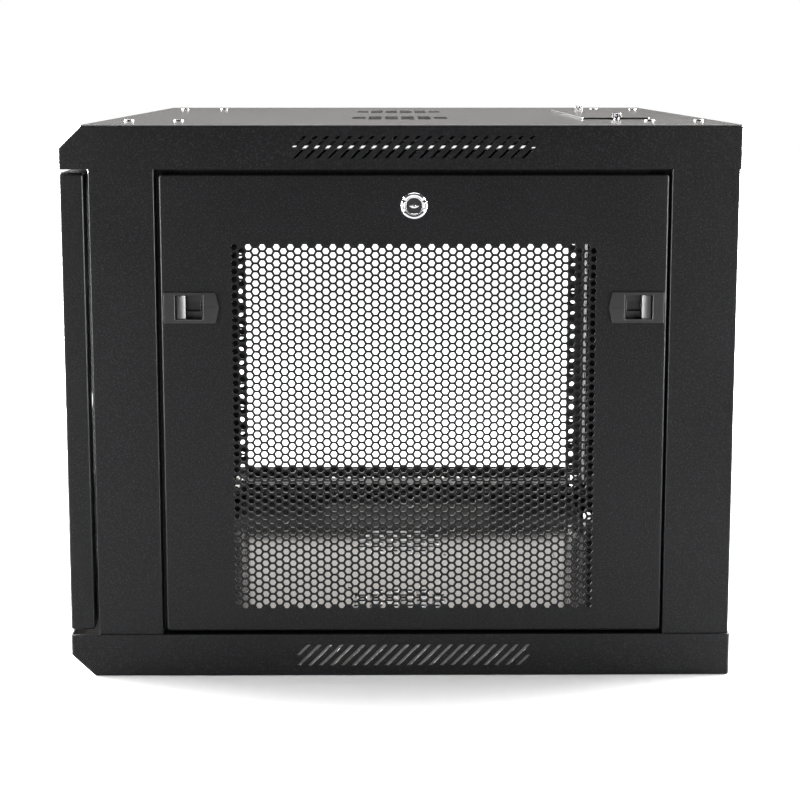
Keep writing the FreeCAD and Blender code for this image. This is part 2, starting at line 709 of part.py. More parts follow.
front_post = make_front_post()
rear_post = make_rear_post()
sill = make_sill()
bar = make_depth_bar()
for side, place in (("right", lambda shape: shape), ("left", flip_x)):
    save("post_front_" + side, place(front_post))
    save("post_rear_" + side, place(rear_post))
    save("sill_bottom_" + side, place(sill))
    save("sill_top_" + side, place(flip_z(sill)))
    save("depth_bar_bottom_" + side, place(bar))
    save("depth_bar_top_" + side, place(flip_z(bar)))

bar_screws = make_bar_screws()
bar_screws += [flip_z(screw) for screw in bar_screws]
save("depth_bar_screws", *(bar_screws + [flip_x(screw) for screw in bar_screws]))

save("rear_panel", make_rear_panel())
save("rear_panel_screws", *make_rear_screws())

front_rail = make_front_rail()
rail_screws = make_front_rail_screws()
for side, place in (("right", lambda shape: shape), ("left", flip_x)):
    save("rail_front_" + side, place(front_rail))
    save("rail_rear_" + side, place(to_rear(front_rail)))
    save("rail_front_" + side + "_screws", *[place(screw) for screw in rail_screws])
    save("rail_rear_" + side + "_screws", *[place(to_rear(screw)) for screw in rail_screws])

for level, seat in (("top", HEIGHT), ("bottom", SHEET)):
    save(level + "_cable_cover", make_entry_plate((seat + GAP, seat + GAP + THIN_SHEET)))
    save(level + "_cable_cover_screws", *make_thumb_screws(seat))

for piece, shape in lock_parts(THIN_SHEET).items():
    save("side_lock_" + piece, to_side_panel(shape))
for piece, shape in lock_parts(SHEET + TOUCH).items():
    save("door_lock_" + piece, to_door(shape))

save("side_panel", make_side_panel())
housing = make_latch_housing()
slider = make_latch_slider()
save("latch_front_housing", housing)
save("latch_rear_housing", flip_panel_y(housing))
save("latch_front_slider", slider)
save("latch_rear_slider", flip_panel_y(slider))

save("front_door", make_door())
pin = make_hinge_pin()
save("hinge_pins", pin, flip_z(pin).translated(Vec(0, 0, DOOR_Z[0] + DOOR_Z[1] - HEIGHT)))
bracket = make_hinge_bracket()
shift = Vec(0, 0, DOOR_Z[0] + DOOR_Z[1] - HEIGHT)
save("hinge_bracket_top", bracket)
save("hinge_bracket_bottom", flip_z(bracket).translated(shift))
bracket_screw = make_bracket_screw()
save("hinge_bracket_screws", bracket_screw, flip_z(bracket_screw).translated(shift))
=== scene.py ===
"""Looks of a nine-unit wall-mount network cabinet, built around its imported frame."""
import logging
import math
from dataclasses import dataclass, field
from enum import Enum
from typing import Callable, Iterable, Sequence

import bmesh
import bpy
from mathutils import Matrix, Vector


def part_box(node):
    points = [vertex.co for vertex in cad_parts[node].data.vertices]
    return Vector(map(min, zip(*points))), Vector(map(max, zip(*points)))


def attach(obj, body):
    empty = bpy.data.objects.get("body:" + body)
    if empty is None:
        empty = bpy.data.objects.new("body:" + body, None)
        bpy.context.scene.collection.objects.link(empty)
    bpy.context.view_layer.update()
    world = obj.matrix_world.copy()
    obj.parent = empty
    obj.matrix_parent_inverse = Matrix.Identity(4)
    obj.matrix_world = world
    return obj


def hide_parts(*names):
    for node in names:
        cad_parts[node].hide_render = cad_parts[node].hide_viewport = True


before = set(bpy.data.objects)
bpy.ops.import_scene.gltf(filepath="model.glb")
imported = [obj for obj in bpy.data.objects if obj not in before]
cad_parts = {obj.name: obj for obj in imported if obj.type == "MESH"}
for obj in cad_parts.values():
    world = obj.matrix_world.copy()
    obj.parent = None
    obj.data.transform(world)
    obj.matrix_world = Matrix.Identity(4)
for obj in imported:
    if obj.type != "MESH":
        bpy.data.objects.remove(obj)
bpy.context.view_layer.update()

LOG = logging.getLogger("cabinet")
MM = 0.001
Pair = tuple[float, float]
Loop = list[Pair]
Tone = tuple[float, float, float]
WELD_GAP = 0.01 * MM
FOLD_ANGLE = math.radians(35)
SMOOTH_ANGLE = math.radians(32)
FLAT_WEIGHT = 90
SINK = 0.1 * MM


# Shader arithmetic


class Channel:
    """A shader value that can be used in Python arithmetic."""

    def __init__(self, graph: "Graph", socket: bpy.types.NodeSocket) -> None:
        """Keeps the graph that the socket belongs to.

        Args:
            graph: The node graph that adds new nodes.
            socket: The output socket that carries this value.
        """
        self.graph = graph
        self.socket = socket

    def _with(self, operation: str, first: "Channel | float", second: "Channel | float") -> "Channel":
        """Returns a Math node's result for two operands."""
        return self.graph.add("ShaderNodeMath", {"operation": operation}, {0: first, 1: second})

    def __add__(self, other: "Channel | float") -> "Channel":
        """Returns the sum."""
        return self._with("ADD", self, other)

    __radd__ = __add__

    def __mul__(self, other: "Channel | float") -> "Channel":
        """Returns the product."""
        return self._with("MULTIPLY", self, other)

    __rmul__ = __mul__

    def __sub__(self, other: "Channel | float") -> "Channel":
        """Returns this value less the other."""
        return self._with("SUBTRACT", self, other)

    def __rsub__(self, other: "Channel | float") -> "Channel":
        """Returns the other value less this one."""
        return self._with("SUBTRACT", other, self)

    def __truediv__(self, other: "Channel | float") -> "Channel":
        """Returns this value divided by the other."""
        return self._with("DIVIDE", self, other)

    def __pow__(self, other: "Channel | float") -> "Channel":
        """Returns this value to a power."""
        return self._with("POWER", self, other)


class Graph:
    """A node tree under construction."""

    def __init__(self, tree: bpy.types.NodeTree) -> None:
        """Keeps the tree that nodes are added to."""
        self.tree = tree

    def add(
        self,
        kind: str,
        settings: dict[str, object] | None = None,
        inputs: dict[int | str, object] | None = None,
        output: int | str = 0,
    ) -> Channel:
        """Adds one node.

        Args:
            kind: Blender's type name of the node.
            settings: Its properties, or a ramp's stops, set before its sockets.
            inputs: Values or channels by socket name or number.
            output: The socket to return.

        Returns:
            The chosen output as a channel.
        """
        node = self.tree.nodes.new(kind)
        for key, value in (settings or {}).items():
            if key == "stops":
                self._set_stops(node.color_ramp, value)
            else:
                setattr(node, key, value)
        for key, value in (inputs or {}).items():
            self._feed(node.inputs[key], value)
        return Channel(self, node.outputs[output])

    def _set_stops(self, ramp: bpy.types.ColorRamp, stops: Sequence[tuple[float, float]]) -> None:
        """Writes grey stops into a colour ramp.

        Args:
            ramp: The ramp, with two stops at least.
            stops: The place and the brightness of each stop.
        """
        while len(ramp.elements) < len(stops):
            ramp.elements.new(1.0)
        for element, (place, grey) in zip(ramp.elements, stops):
            element.position = place
            element.color = (grey, grey, grey, 1.0)

    def _feed(self, socket: bpy.types.NodeSocket, value: object) -> None:
        """Links a channel to a socket, or sets the socket's own value.

        Args:
            socket: The input socket.
            value: The channel or the value.
        """
        if isinstance(value, Channel):
            self.tree.links.new(value.socket, socket)
        else:
            socket.default_value = value

    def blend(self, share: Channel, first: Sequence[float], second: Sequence[float]) -> Channel:
        """Returns a colour between two, by the share of the second."""
        sockets = {0: share, 6: (*first, 1.0), 7: (*second, 1.0)}
        return self.add("ShaderNodeMix", {"data_type": "RGBA"}, sockets, 2)

    def spread(self, value: Channel, start: float, end: float, low: float, high: float) -> Channel:
        """Moves a value from one range to another.

        Args:
            value: The value to move.
            start: The first end of its range.
            end: The other end of its range.
            low: What the first end becomes.
            high: What the other end becomes.

        Returns:
            The moved value, held at the new range's ends.
        """
        names = ("From Min", "From Max", "To Min", "To Max")
        sockets = dict(zip(names, (start, end, low, high)))
        return self.add("ShaderNodeMapRange", {}, {"Value": value, **sockets})

    def part_of(self, vector: Channel, axis: str) -> Channel:
        """Returns one axis of a vector."""
        return self.add("ShaderNodeSeparateXYZ", {}, {0: vector}, axis)


class Recipe(Graph):
    """A node material under construction, with one Principled shader."""

    def __init__(self, name: str) -> None:
        """Starts a material.

        Args:
            name: The material's name.
        """
        self.material = bpy.data.materials.new(name)
        self.material.use_nodes = True
        super().__init__(self.material.node_tree)
        self.shader = next(n for n in self.tree.nodes if n.type == "BSDF_PRINCIPLED")

    def place(self) -> Channel:
        """Returns the object's own coordinates in metres."""
        return self.add("ShaderNodeTexCoord", output="Object")

    def noise(self, scale: float, detail: float = 2.0, where: Channel | None = None) -> Channel:
        """Returns noise from 0 to 1.

        Args:
            scale: Features per metre.
            detail: How many finer layers are added.
            where: Coordinates, or the object's own if left out.

        Returns:
            The noise factor.
        """
        sockets = {"Vector": where or self.place(), "Scale": scale, "Detail": detail}
        return self.add("ShaderNodeTexNoise", {}, sockets)

    def ramp(self, value: Channel, *stops: tuple[float, float]) -> Channel:
        """Returns the value passed through grey stops."""
        return self.add("ShaderNodeValToRGB", {"stops": stops}, {0: value})

    def stretched(self, scale: Sequence[float]) -> Channel:
        """Returns the object's coordinates scaled by axis, for brushed or drawn marks."""
        settings = {"operation": "MULTIPLY"}
        return self.add("ShaderNodeVectorMath", settings, {0: self.place(), 1: tuple(scale)})

    def relief(self, height: Channel, depth: float, strength: float = 1.0) -> None:
        """Feeds a bump to the shader's normal.

        Args:
            height: The height pattern from 0 to 1.
            depth: The full height in metres.
            strength: How much of it shows.
        """
        sockets = {"Strength": strength, "Distance": depth, "Height": height}
        self.feed("Normal", self.add("ShaderNodeBump", {}, sockets))

    def feed(self, name: str, value: object) -> None:
        """Sets or links one of the shader's sockets."""
        self._feed(self.shader.inputs[name], value)


# Finishes


@dataclass(frozen=True)
class PowderCoat:
    """Fine-textured powder coat on sheet steel.

    Attributes:
        name: The material's name.
        tone: Linear colour of the coat.
        lift: How much lighter its paler patches are.
        grain: Texture bumps per metre.
        depth: Height of the texture in metres.
        gloss: Roughness of the coat's smoothest patches.
        shine: Strength of its mirror part, where half is usual for paint.
        skin: Clear skin on faces that look up, where the powder flows out smooth.
        reach: How far to the left and right of the middle the skin reaches, in metres.
        fade: How wide the skin's edge is, in metres.
        skin_gloss: Roughness of the skin.
        handling: Handling marks per metre.
    """

    name: str = "powder_coat"
    tone: Tone = (0.0025, 0.0026, 0.003)
    lift: float = 7.0
    grain: float = 620.0
    depth: float = 0.00007
    gloss: float = 0.27
    shine: float = 0.13
    skin: float = 0.9
    reach: float = 1.0
    fade: float = 0.04
    skin_gloss: float = 0.12
    handling: float = 9.0

    def material(self) -> bpy.types.Material:
        """Builds the material.

        Returns:
            The material, ready for a slot.
        """
        recipe = Recipe(self.name)
        fine = recipe.noise(self.grain, 3.0)
        peel = recipe.noise(self.grain * 0.22, 1.0)
        haze = recipe.noise(self.handling, 4.0)
        speck = recipe.ramp(recipe.noise(self.grain * 1.25, 1.0), (0.5, 0.0), (0.72, 1.0))
        pale = tuple(channel * self.lift for channel in self.tone)
        recipe.feed("Base Color", recipe.blend(speck * 0.85 + haze * 0.15, self.tone, pale))
        recipe.feed("Specular IOR Level", self.shine)
        up = recipe.part_of(recipe.add("ShaderNodeTexCoord", output="Normal"), "Z")
        aside = (recipe.part_of(recipe.place(), "X") ** 2.0) ** 0.5
        within = recipe.spread(aside, self.reach - self.fade, self.reach, 1.0, 0.0)
        flow = recipe.spread(up, 0.9, 0.99, 0.0, 1.0) * within * self.skin
        recipe.feed("Coat Weight", flow)
        recipe.feed("Coat Roughness", self.skin_gloss)
        recipe.feed("Roughness", fine * 0.1 + haze * 0.08 + self.gloss - flow * 0.14)
        recipe.relief((fine * 0.7 + peel * 0.9) * (1.0 - flow), self.depth)
        return recipe.material


@dataclass(frozen=True)
class BareMetal:
    """Plated or polished metal.

    Attributes:
        name: The material's name.
        tone: Linear reflection colour.
        dull: Colour of its duller patches.
        gloss: Roughness of its cleanest patches.
        spread: Extra roughness of its duller patches.
        marks: Scale by axis of its fine drawn marks, per metre.
        clouds: Cloudy patches per metre.
        depth: Height of the drawn marks in metres.
    """

    name: str
    tone: Tone
    dull: Tone
    gloss: float
    spread: float
    marks: tuple[float, float, float] = (400.0, 400.0, 2200.0)
    clouds: float = 160.0
    depth: float = 0.00002

    def material(self) -> bpy.types.Material:
        """Builds the material.

        Returns:
            The material, ready for a slot.
        """
        recipe = Recipe(self.name)
        drawn = recipe.noise(1.0, 2.0, recipe.stretched(self.marks))
        cloud = recipe.noise(self.clouds, 3.0)
        recipe.feed("Base Color", recipe.blend(cloud, self.tone, self.dull))
        recipe.feed("Roughness", drawn * self.spread + cloud * self.spread * 0.6 + self.gloss)
        recipe.feed("Metallic", 1.0)
        recipe.relief(drawn, self.depth, 0.6)
        return recipe.material


@dataclass(frozen=True)
class Moulded:
    """Injection-moulded plastic or a smooth dark lacquer.

    Attributes:
        name: The material's name.
        tone: Linear colour.
        gloss: Roughness of its smoothest patches.
        grain: Spark-erosion texture per metre.
        depth: Height of that texture in metres.
        shine: Strength of its mirror part.
        flows: Flow marks per metre.
        lift: How much lighter its palest marks are.
    """

    name: str
    tone: Tone
    gloss: float
    grain: float = 1500.0
    depth: float = 0.00003
    shine: float = 0.3
    flows: float = 45.0
    lift: float = 1.6

    def material(self) -> bpy.types.Material:
        """Builds the material.

        Returns:
            The material, ready for a slot.
        """
        recipe = Recipe(self.name)
        fine = recipe.noise(self.grain, 2.0)
        flow = recipe.noise(self.flows, 3.0)
        pale = tuple(channel * self.lift for channel in self.tone)
        recipe.feed("Base Color", recipe.blend(flow * 0.7 + fine * 0.2, self.tone, pale))
        recipe.feed("Roughness", fine * 0.08 + flow * 0.1 + self.gloss)
        recipe.feed("Specular IOR Level", self.shine)
        recipe.relief(fine, self.depth)
        return recipe.material


@dataclass(frozen=True)
class StudioPaper:
    """The pale paper floor that the cabinet stands on, with a painted glow that grows away from the cabinet.

    Attributes:
        name: The material's name.
        tone: Linear colour.
        painted_glow_span: Distances from the middle where its painted glow starts and is full, in metres.
        tooth: Paper fibres per metre.
    """

    name: str = "studio_paper"
    tone: Tone = (0.9, 0.9, 0.905)
    painted_glow_span: Pair = (0.35, 0.8)
    tooth: float = 60.0

    def material(self) -> bpy.types.Material:
        """Builds the material.

        Returns:
            The material, ready for a slot.
        """
        recipe = Recipe(self.name)
        tooth = recipe.noise(self.tooth, 3.0)
        shade = tuple(channel * 0.985 for channel in self.tone)
        recipe.feed("Base Color", recipe.blend(tooth, self.tone, shade))
        recipe.feed("Roughness", tooth * 0.1 + 0.75)
        recipe.feed("Specular IOR Level", 0.2)
        # Painted glow: the paper emits white light, more the farther it lies from the cabinet, standing in
        # for a brightly lit floor.
        measure = {"operation": "LENGTH"}
        away = recipe.add("ShaderNodeVectorMath", measure, {0: recipe.place()}, "Value")
        glow = recipe.spread(away, *self.painted_glow_span, 0.0, 1.0)
        recipe.feed("Emission Color", recipe.blend(glow, (0.0, 0.0, 0.0), (1.0, 1.0, 1.0)))
        recipe.feed("Emission Strength", 1.0)
        return recipe.material


class Finish(Enum):
    """The finishes used on the cabinet, each with the record's slot it belongs to."""

    COAT = ("powder_coat", PowderCoat())
    TRAY = ("powder_coat", PowderCoat("powder_coat_tray", reach=0.19))
    RAIL = ("rail_coat", PowderCoat("rail_coat", (0.004, 0.004, 0.0043), lift=2.4, grain=1300.0,
                                    depth=0.00004, gloss=0.26, shine=0.2, skin=0.0))
    ZINC = ("zinc_steel", BareMetal("zinc_steel", (0.66, 0.66, 0.63), (0.46, 0.46, 0.44), 0.24, 0.16))
    CHROME = ("lock_chrome", BareMetal("lock_chrome", (0.6, 0.6, 0.61), (0.48, 0.48, 0.49), 0.13, 0.05))
    ROTOR = ("lock_rotor", Moulded("lock_rotor", (0.004, 0.004, 0.004), 0.3))
    NYLON = ("latch_plastic", Moulded("latch_plastic", (0.008, 0.008, 0.0088), 0.24, shine=0.32))
    SCREW = ("black_screw", Moulded("black_screw", (0.004, 0.004, 0.0045), 0.45, 900.0, shine=0.1))

    @property
    def slot(self) -> str:
        """The record's material slot."""
        return self.value[0]


class PaintShop:
    """Makes each finish once and puts it on pieces."""

    def __init__(self) -> None:
        """Starts with no materials made."""
        self.made: dict[Finish, bpy.types.Material] = {}

    def coat(self, piece: bpy.types.Object, finish: Finish) -> None:
        """Replaces every material of a piece by one finish.

        Args:
            piece: The mesh object to dress.
            finish: The finish it gets.
        """
        if finish not in self.made:
            self.made[finish] = finish.value[1].material()
        piece.data.materials.clear()
        piece.data.materials.append(self.made[finish])


SHOP = PaintShop()


# Shapes


def rounded_box(low: Pair, high: Pair, radius: float, steps: int = 4) -> Loop:
    """Returns a rectangle with round corners.

    Args:
        low: Its lowest corner.
        high: Its highest corner.
        radius: The corner radius.
        steps: Points per corner, less one.

    Returns:
        The points, anticlockwise.
    """
    points = []
    corners = ((high[0], low[1], -90), (high[0], high[1], 0), (low[0], high[1], 90), (low[0], low[1], 180))
    for u, v, start in corners:
        cu = u - math.copysign(radius, u - (low[0] + high[0]) / 2)
        cv = v - math.copysign(radius, v - (low[1] + high[1]) / 2)
        for step in range(steps + 1):
            angle = math.radians(start + 90 * step / steps)
            points.append((cu + radius * math.cos(angle), cv + radius * math.sin(angle)))
    return points


def circle(centre: Pair, radius: float, count: int = 40) -> Loop:
    """Returns the points of a circle, anticlockwise."""
    angles = [math.tau * step / count for step in range(count)]
    return [(centre[0] + radius * math.cos(a), centre[1] + radius * math.sin(a)) for a in angles]


@dataclass(frozen=True)
class Plane:
    """A working plane on the cabinet.

    Attributes:
        across: The direction of u.
        up: The direction of v.
        outward: The direction that the plane faces.
        face: How far out the plane lies from the origin.
    """

    across: Vector
    up: Vector
    outward: Vector
    face: float

    def point(self, u: float, v: float, depth: float) -> Vector:
        """Returns the place at u and v, a depth inwards from the plane."""
        return self.across * u + self.up * v + self.outward * (self.face - depth)


def facing_right(face: float) -> Plane:
    """Returns a plane that faces +X, with u along Y and v along Z."""
    return Plane(Vector((0, 1, 0)), Vector((0, 0, 1)), Vector((1, 0, 0)), face)


def facing_front(face: float) -> Plane:
    """Returns a plane that faces -Y, with u along X and v along Z."""
    return Plane(Vector((1, 0, 0)), Vector((0, 0, 1)), Vector((0, -1, 0)), face)


class Draft:
    """A mesh being drawn on a working plane."""

    def __init__(self, plane: Plane) -> None:
        """Starts an empty mesh.

        Args:
            plane: The plane that u, v and depth refer to.
        """
        self.plane = plane
        self.mesh = bmesh.new()

    def vert(self, u: float, v: float, depth: float = 0.0) -> bmesh.types.BMVert:
        """Adds one point."""
        return self.mesh.verts.new(self.plane.point(u, v, depth))

    def ring(self, loop: Loop, depth: float = 0.0) -> list[bmesh.types.BMVert]:
        """Adds the points of a loop at one depth."""
        return [self.vert(u, v, depth) for u, v in loop]

    def closed_edges(self, ring: Sequence[bmesh.types.BMVert]) -> list[bmesh.types.BMEdge]:
        """Makes the edges round a ring where they are missing.

        Args:
            ring: The ring's points in order.

        Returns:
            Every edge round the ring.
        """
        edges = []
        for first, second in zip(ring, [*ring[1:], ring[0]]):
            edges.append(self.mesh.edges.get((first, second)) or self.mesh.edges.new((first, second)))
        return edges

    def bridge(self, inner: Sequence[bmesh.types.BMVert], outer: Sequence[bmesh.types.BMVert]) -> None:
        """Joins two rings of the same count, facing outwards where the second one is outside.

        Args:
            inner: The first ring.
            outer: The second ring.
        """
        count = len(inner)
        for step in range(count):
            after = (step + 1) % count
            self.mesh.faces.new((inner[step], outer[step], outer[after], inner[after]))

    def loft(self, rings: Sequence[Sequence[bmesh.types.BMVert]]) -> None:
        """Joins each ring to the next."""
        for inner, outer in zip(rings, rings[1:]):
            self.bridge(inner, outer)

    def cap(self, ring: Sequence[bmesh.types.BMVert], away: bool = False) -> None:
        """Closes a ring with one face, turned away from the plane if asked."""
        self.mesh.faces.new(list(reversed(ring)) if away else list(ring))

    def fill(self, edges: Iterable[bmesh.types.BMEdge]) -> None:
        """Fills the area between edge loops, facing outwards.

        Args:
            edges: The edges of the outline and of each hole in it.
        """
        outward = self.plane.outward
        made = bmesh.ops.triangle_fill(self.mesh, use_beauty=True, edges=list(edges), normal=outward)
        for item in made["geom"]:
            if isinstance(item, bmesh.types.BMFace):
                item.normal_update()
                if item.normal.dot(outward) < 0:
                    item.normal_flip()

    def slab(self, loop: Loop, top: float, bottom: float, bevel: float) -> None:
        """Adds a closed block with a bevelled top edge.

        Args:
            loop: Its outline, anticlockwise.
            top: Depth of its outer face, negative where it stands proud.
            bottom: Depth of its inner face.
            bevel: Width and height of the bevel.
        """
        centre = (sum(u for u, _ in loop) / len(loop), sum(v for _, v in loop) / len(loop))
        inner = [shrunk(point, centre, bevel) for point in loop]
        rings = [self.ring(inner, top), self.ring(loop, top + bevel), self.ring(loop, bottom)]
        self.cap(rings[0])
        self.loft(rings)
        self.cap(rings[-1], away=True)

    def finish(
        self, name: str, modify: Callable[[bpy.types.Object], None] | None = None,
    ) -> bpy.types.Object:
        """Turns the draft into an object with smooth bends and sharp folds.

        Args:
            name: The new piece's name.
            modify: Adds modifiers, which are then applied.

        Returns:
            The new piece.
        """
        data = bpy.data.meshes.new(name)
        self.mesh.to_mesh(data)
        self.mesh.free()
        piece = bpy.data.objects.new(name, data)
        bpy.context.scene.collection.objects.link(piece)
        if modify:
            modify(piece)
            graph = bpy.context.evaluated_depsgraph_get()
            piece.data = bpy.data.meshes.new_from_object(piece.evaluated_get(graph))
            piece.modifiers.clear()
        piece.data.shade_smooth()
        piece.data.set_sharp_from_angle(angle=SMOOTH_ANGLE)
        keep_flats_flat(piece)
        return piece


def shrunk(point: Pair, centre: Pair, amount: float) -> Pair:
    """Returns a point moved towards a centre by an amount along each axis."""
    moved = [p - math.copysign(min(amount, abs(p - c)), p - c) for p, c in zip(point, centre)]
    return (moved[0], moved[1])


def middle_of(box: Sequence[Vector]) -> Vector:
    """Returns the middle of a box, given by its lowest and highest corners."""
    return (box[0] + box[1]) / 2


def keep_flats_flat(piece: bpy.types.Object) -> None:
    """Lets large flat faces decide the shading next to bends.

    Args:
        piece: The mesh object.
    """
    flatten = piece.modifiers.new("flat_faces", "WEIGHTED_NORMAL")
    flatten.weight = FLAT_WEIGHT
    flatten.keep_sharp = True


def install(piece: bpy.types.Object, body: str, finish: Finish, *nodes: str) -> None:
    """Dresses a new piece and fixes it to the frame.

    Args:
        piece: The new mesh object.
        body: The body it rides on.
        finish: Its finish.
        nodes: The CAD nodes it stands for.
    """
    SHOP.coat(piece, finish)
    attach(piece, body)
    if nodes:
        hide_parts(*nodes)
    LOG.info("made %s on %s", piece.name, body)


def soften(node: str, finish: Finish, width: float) -> None:
    """Rounds a CAD node's edges without touching its mesh, and dresses it.

    Args:
        node: The CAD node's name.
        finish: Its finish.
        width: The edge rounding in metres.
    """
    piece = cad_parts[node]
    SHOP.coat(piece, finish)
    piece.data.shade_smooth()
    weld = piece.modifiers.new("weld", "WELD")
    weld.merge_threshold = WELD_GAP
    round_off = piece.modifiers.new("round_off", "BEVEL")
    round_off.width = width
    round_off.segments = 2
    round_off.limit_method = "ANGLE"
    round_off.angle_limit = FOLD_ANGLE
    split = piece.modifiers.new("keep_folds", "EDGE_SPLIT")
    split.split_angle = FOLD_ANGLE
    keep_flats_flat(piece)
    LOG.info("dressed %s", node)


# Folded and perforated sheets


@dataclass(frozen=True)
class VentField:
    """A honeycomb of hexagonal holes with their points to the sides.

    Attributes:
        columns: Holes across.
        rows: Holes up.
        pitch: Distance between holes in a column.
        clear: A hole's size across its flats.
        centre: The middle of the field.
    """

    columns: int
    rows: int
    centre: Pair
    pitch: float = 7.2 * MM
    clear: float = 5.2 * MM

    def holes(self) -> list[Pair]:
        """Lays out the holes, with every other column half a pitch higher.

        Returns:
            Every hole's centre.
        """
        step = self.pitch * math.sqrt(3) / 2
        left = self.centre[0] - (self.columns - 1) / 2 * step
        bottom = self.centre[1] - (self.rows - 0.5) / 2 * self.pitch
        places = []
        for column in range(self.columns):
            lift = self.pitch / 2 if column % 2 == 0 else 0.0
            places += [(left + column * step, bottom + row * self.pitch + lift) for row in range(self.rows)]
        return places

    def punch(self, draft: Draft) -> list[bmesh.types.BMEdge]:
        """Draws the web between the holes.

        Args:
            draft: The sheet being drawn.

        Returns:
            The edges round the whole field.
        """
        cell, hole = self.pitch / math.sqrt(3), self.clear / math.sqrt(3)
        turns = [(math.cos(math.radians(60 * k)), math.sin(math.radians(60 * k))) for k in range(6)]
        shared: dict[tuple[int, int], bmesh.types.BMVert] = {}
        grain = 0.02 * MM
        for u, v in self.holes():
            corners = []
            for c, s in turns:
                key = (round((u + cell * c) / grain), round((v + cell * s) / grain))
                found = next((shared[k] for k in neighbours(key) if k in shared), None)
                if found is None:
                    found = shared[key] = draft.vert(u + cell * c, v + cell * s)
                corners.append(found)
            rim = [draft.vert(u + hole * c, v + hole * s) for c, s in turns]
            draft.bridge(rim, corners)
        outer = set(shared.values())
        return [e for e in draft.mesh.edges if len(e.link_faces) == 1 and set(e.verts) <= outer]


def neighbours(key: tuple[int, int]) -> list[tuple[int, int]]:
    """Returns a grid cell and the eight round it."""
    return [(key[0] + i, key[1] + j) for i in (0, -1, 1) for j in (0, -1, 1)]


@dataclass(frozen=True)
class FoldedSheet:
    """A sheet with its four edges folded back and, on a door, returned inwards.

    Attributes:
        plane: The plane of its outer face.
        low: Its lowest corner.
        high: Its highest corner.
        vents: Its perforated field.
        cuts: Loops cut out of its face.
        thickness: The sheet's thickness.
        bend: The outer radius of its folds.
        depth: How deep its edges go.
        lip: How wide the return is, or 0 for none.
    """

    plane: Plane
    low: Pair
    high: Pair
    vents: VentField
    cuts: list[Loop]
    thickness: float
    bend: float
    depth: float
    lip: float = 0.0

    def section(self) -> list[Pair]:
        """Works out the fold, from the flat face inwards.

        Returns:
            Pairs of inset and depth.
        """
        arc = [math.radians(90 * step / 4) for step in range(5)]
        places = [(self.bend * (1 - math.sin(a)), self.bend * (1 - math.cos(a))) for a in arc]
        if not self.lip:
            return places + [(0.0, self.depth)]
        back = [(self.bend * (1 - math.cos(a)), self.depth - self.bend * (1 - math.sin(a))) for a in arc]
        return places + back + [(self.lip, self.depth)]

    def make(self, name: str) -> bpy.types.Object:
        """Builds the sheet.

        Args:
            name: The piece's name.

        Returns:
            The finished piece.
        """
        draft = Draft(self.plane)
        outline = self.vents.punch(draft)
        rings = []
        for inset, depth in self.section():
            low = (self.low[0] + inset, self.low[1] + inset)
            high = (self.high[0] - inset, self.high[1] - inset)
            radius = max(self.bend * 1.6 - inset, 0.4 * MM)
            rings.append(draft.ring(rounded_box(low, high, radius), depth))
        edges = outline + draft.closed_edges(rings[0])
        for loop in self.cuts:
            edges += draft.closed_edges(draft.ring(loop))
        draft.fill(edges)
        draft.loft(rings)
        return draft.finish(name, self._thicken)

    def _thicken(self, piece: bpy.types.Object) -> None:
        """Gives the sheet its thickness, inwards from its outer face.

        Args:
            piece: The sheet as one skin.
        """
        solid = piece.modifiers.new("sheet", "SOLIDIFY")
        solid.thickness = self.thickness
        solid.offset = -1.0
        solid.use_even_offset = True


@dataclass(frozen=True)
class SidePanel:
    """The lift-off perforated panel on the right side.

    Attributes:
        body: The body it rides on.
        node: The CAD node it stands for.
        thickness: The sheet's thickness.
        bend: The outer radius of its folds.
        rim: How deep its folded edges go.
        vent_drop: How far its perforated field sits below its middle.
        latch_clearance: How far inside a latch's outline its cut-out runs.
        lock_hole: The radius of the hole for its lock.
        tab_width: The width of its two tabs.
        tab_spread: How far each tab is from its middle.
        tab_sheet: The thickness of the tabs.
        tab_lift: How far the tabs' shelves are above their feet.
        edge: The rounding of the tabs' edges.
    """

    body: str = "side_cover"
    node: str = "side_panel"
    thickness: float = 1.2 * MM
    bend: float = 2.0 * MM
    rim: float = 12.0 * MM
    vent_drop: float = 20.1 * MM
    latch_clearance: float = 2.2 * MM
    lock_hole: float = 9.0 * MM
    tab_width: float = 20.0 * MM
    tab_spread: float = 150.0 * MM
    tab_sheet: float = 1.5 * MM
    tab_lift: float = 2.0 * MM
    edge: float = 0.2 * MM

    def build(self) -> None:
        """Builds the panel with its lock and latch cut-outs, and its two tabs."""
        low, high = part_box(self.node)
        plane = facing_right(high.x)
        middle = middle_of((low, high))
        vents = VentField(52, 46, (middle.y, middle.z - self.vent_drop))
        cuts = [LatchPlace(name).outline(self.latch_clearance) for name in ("latch_front", "latch_rear")]
        lock = middle_of(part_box("side_lock_barrel"))
        cuts.append(circle((lock.y, lock.z), self.lock_hole))
        sheet = FoldedSheet(plane, (low.y, low.z), (high.y, high.z), vents, cuts,
                            self.thickness, self.bend, self.rim)
        panel = sheet.make("perforated_side_panel")
        install(panel, self.body, Finish.COAT, self.node)
        self._tabs(plane, middle.y, low)

    def _tabs(self, plane: Plane, middle: float, low: Vector) -> None:
        """Adds the two bent tabs that stand on the sill.

        Args:
            plane: The plane of the panel's face.
            middle: The panel's middle along u.
            low: The lowest corner of the panel's box.
        """
        draft = Draft(plane)
        half = self.tab_width / 2
        reach = plane.face - low.x
        for side in (-1, 1):
            u = middle + side * self.tab_spread
            foot = low.z + self.thickness - SINK
            shelf = foot + self.tab_lift
            top = (u + half, shelf + self.tab_sheet)
            upright = rounded_box((u - half, foot), top, 2 * self.edge, 1)
            draft.slab(upright, self.rim - self.tab_sheet, self.rim, self.edge)
            tongue = rounded_box((u - half, shelf), top, 2 * self.edge, 1)
            draft.slab(tongue, self.rim - self.edge, reach, self.edge)
        install(draft.finish("side_panel_tabs"), self.body, Finish.COAT)


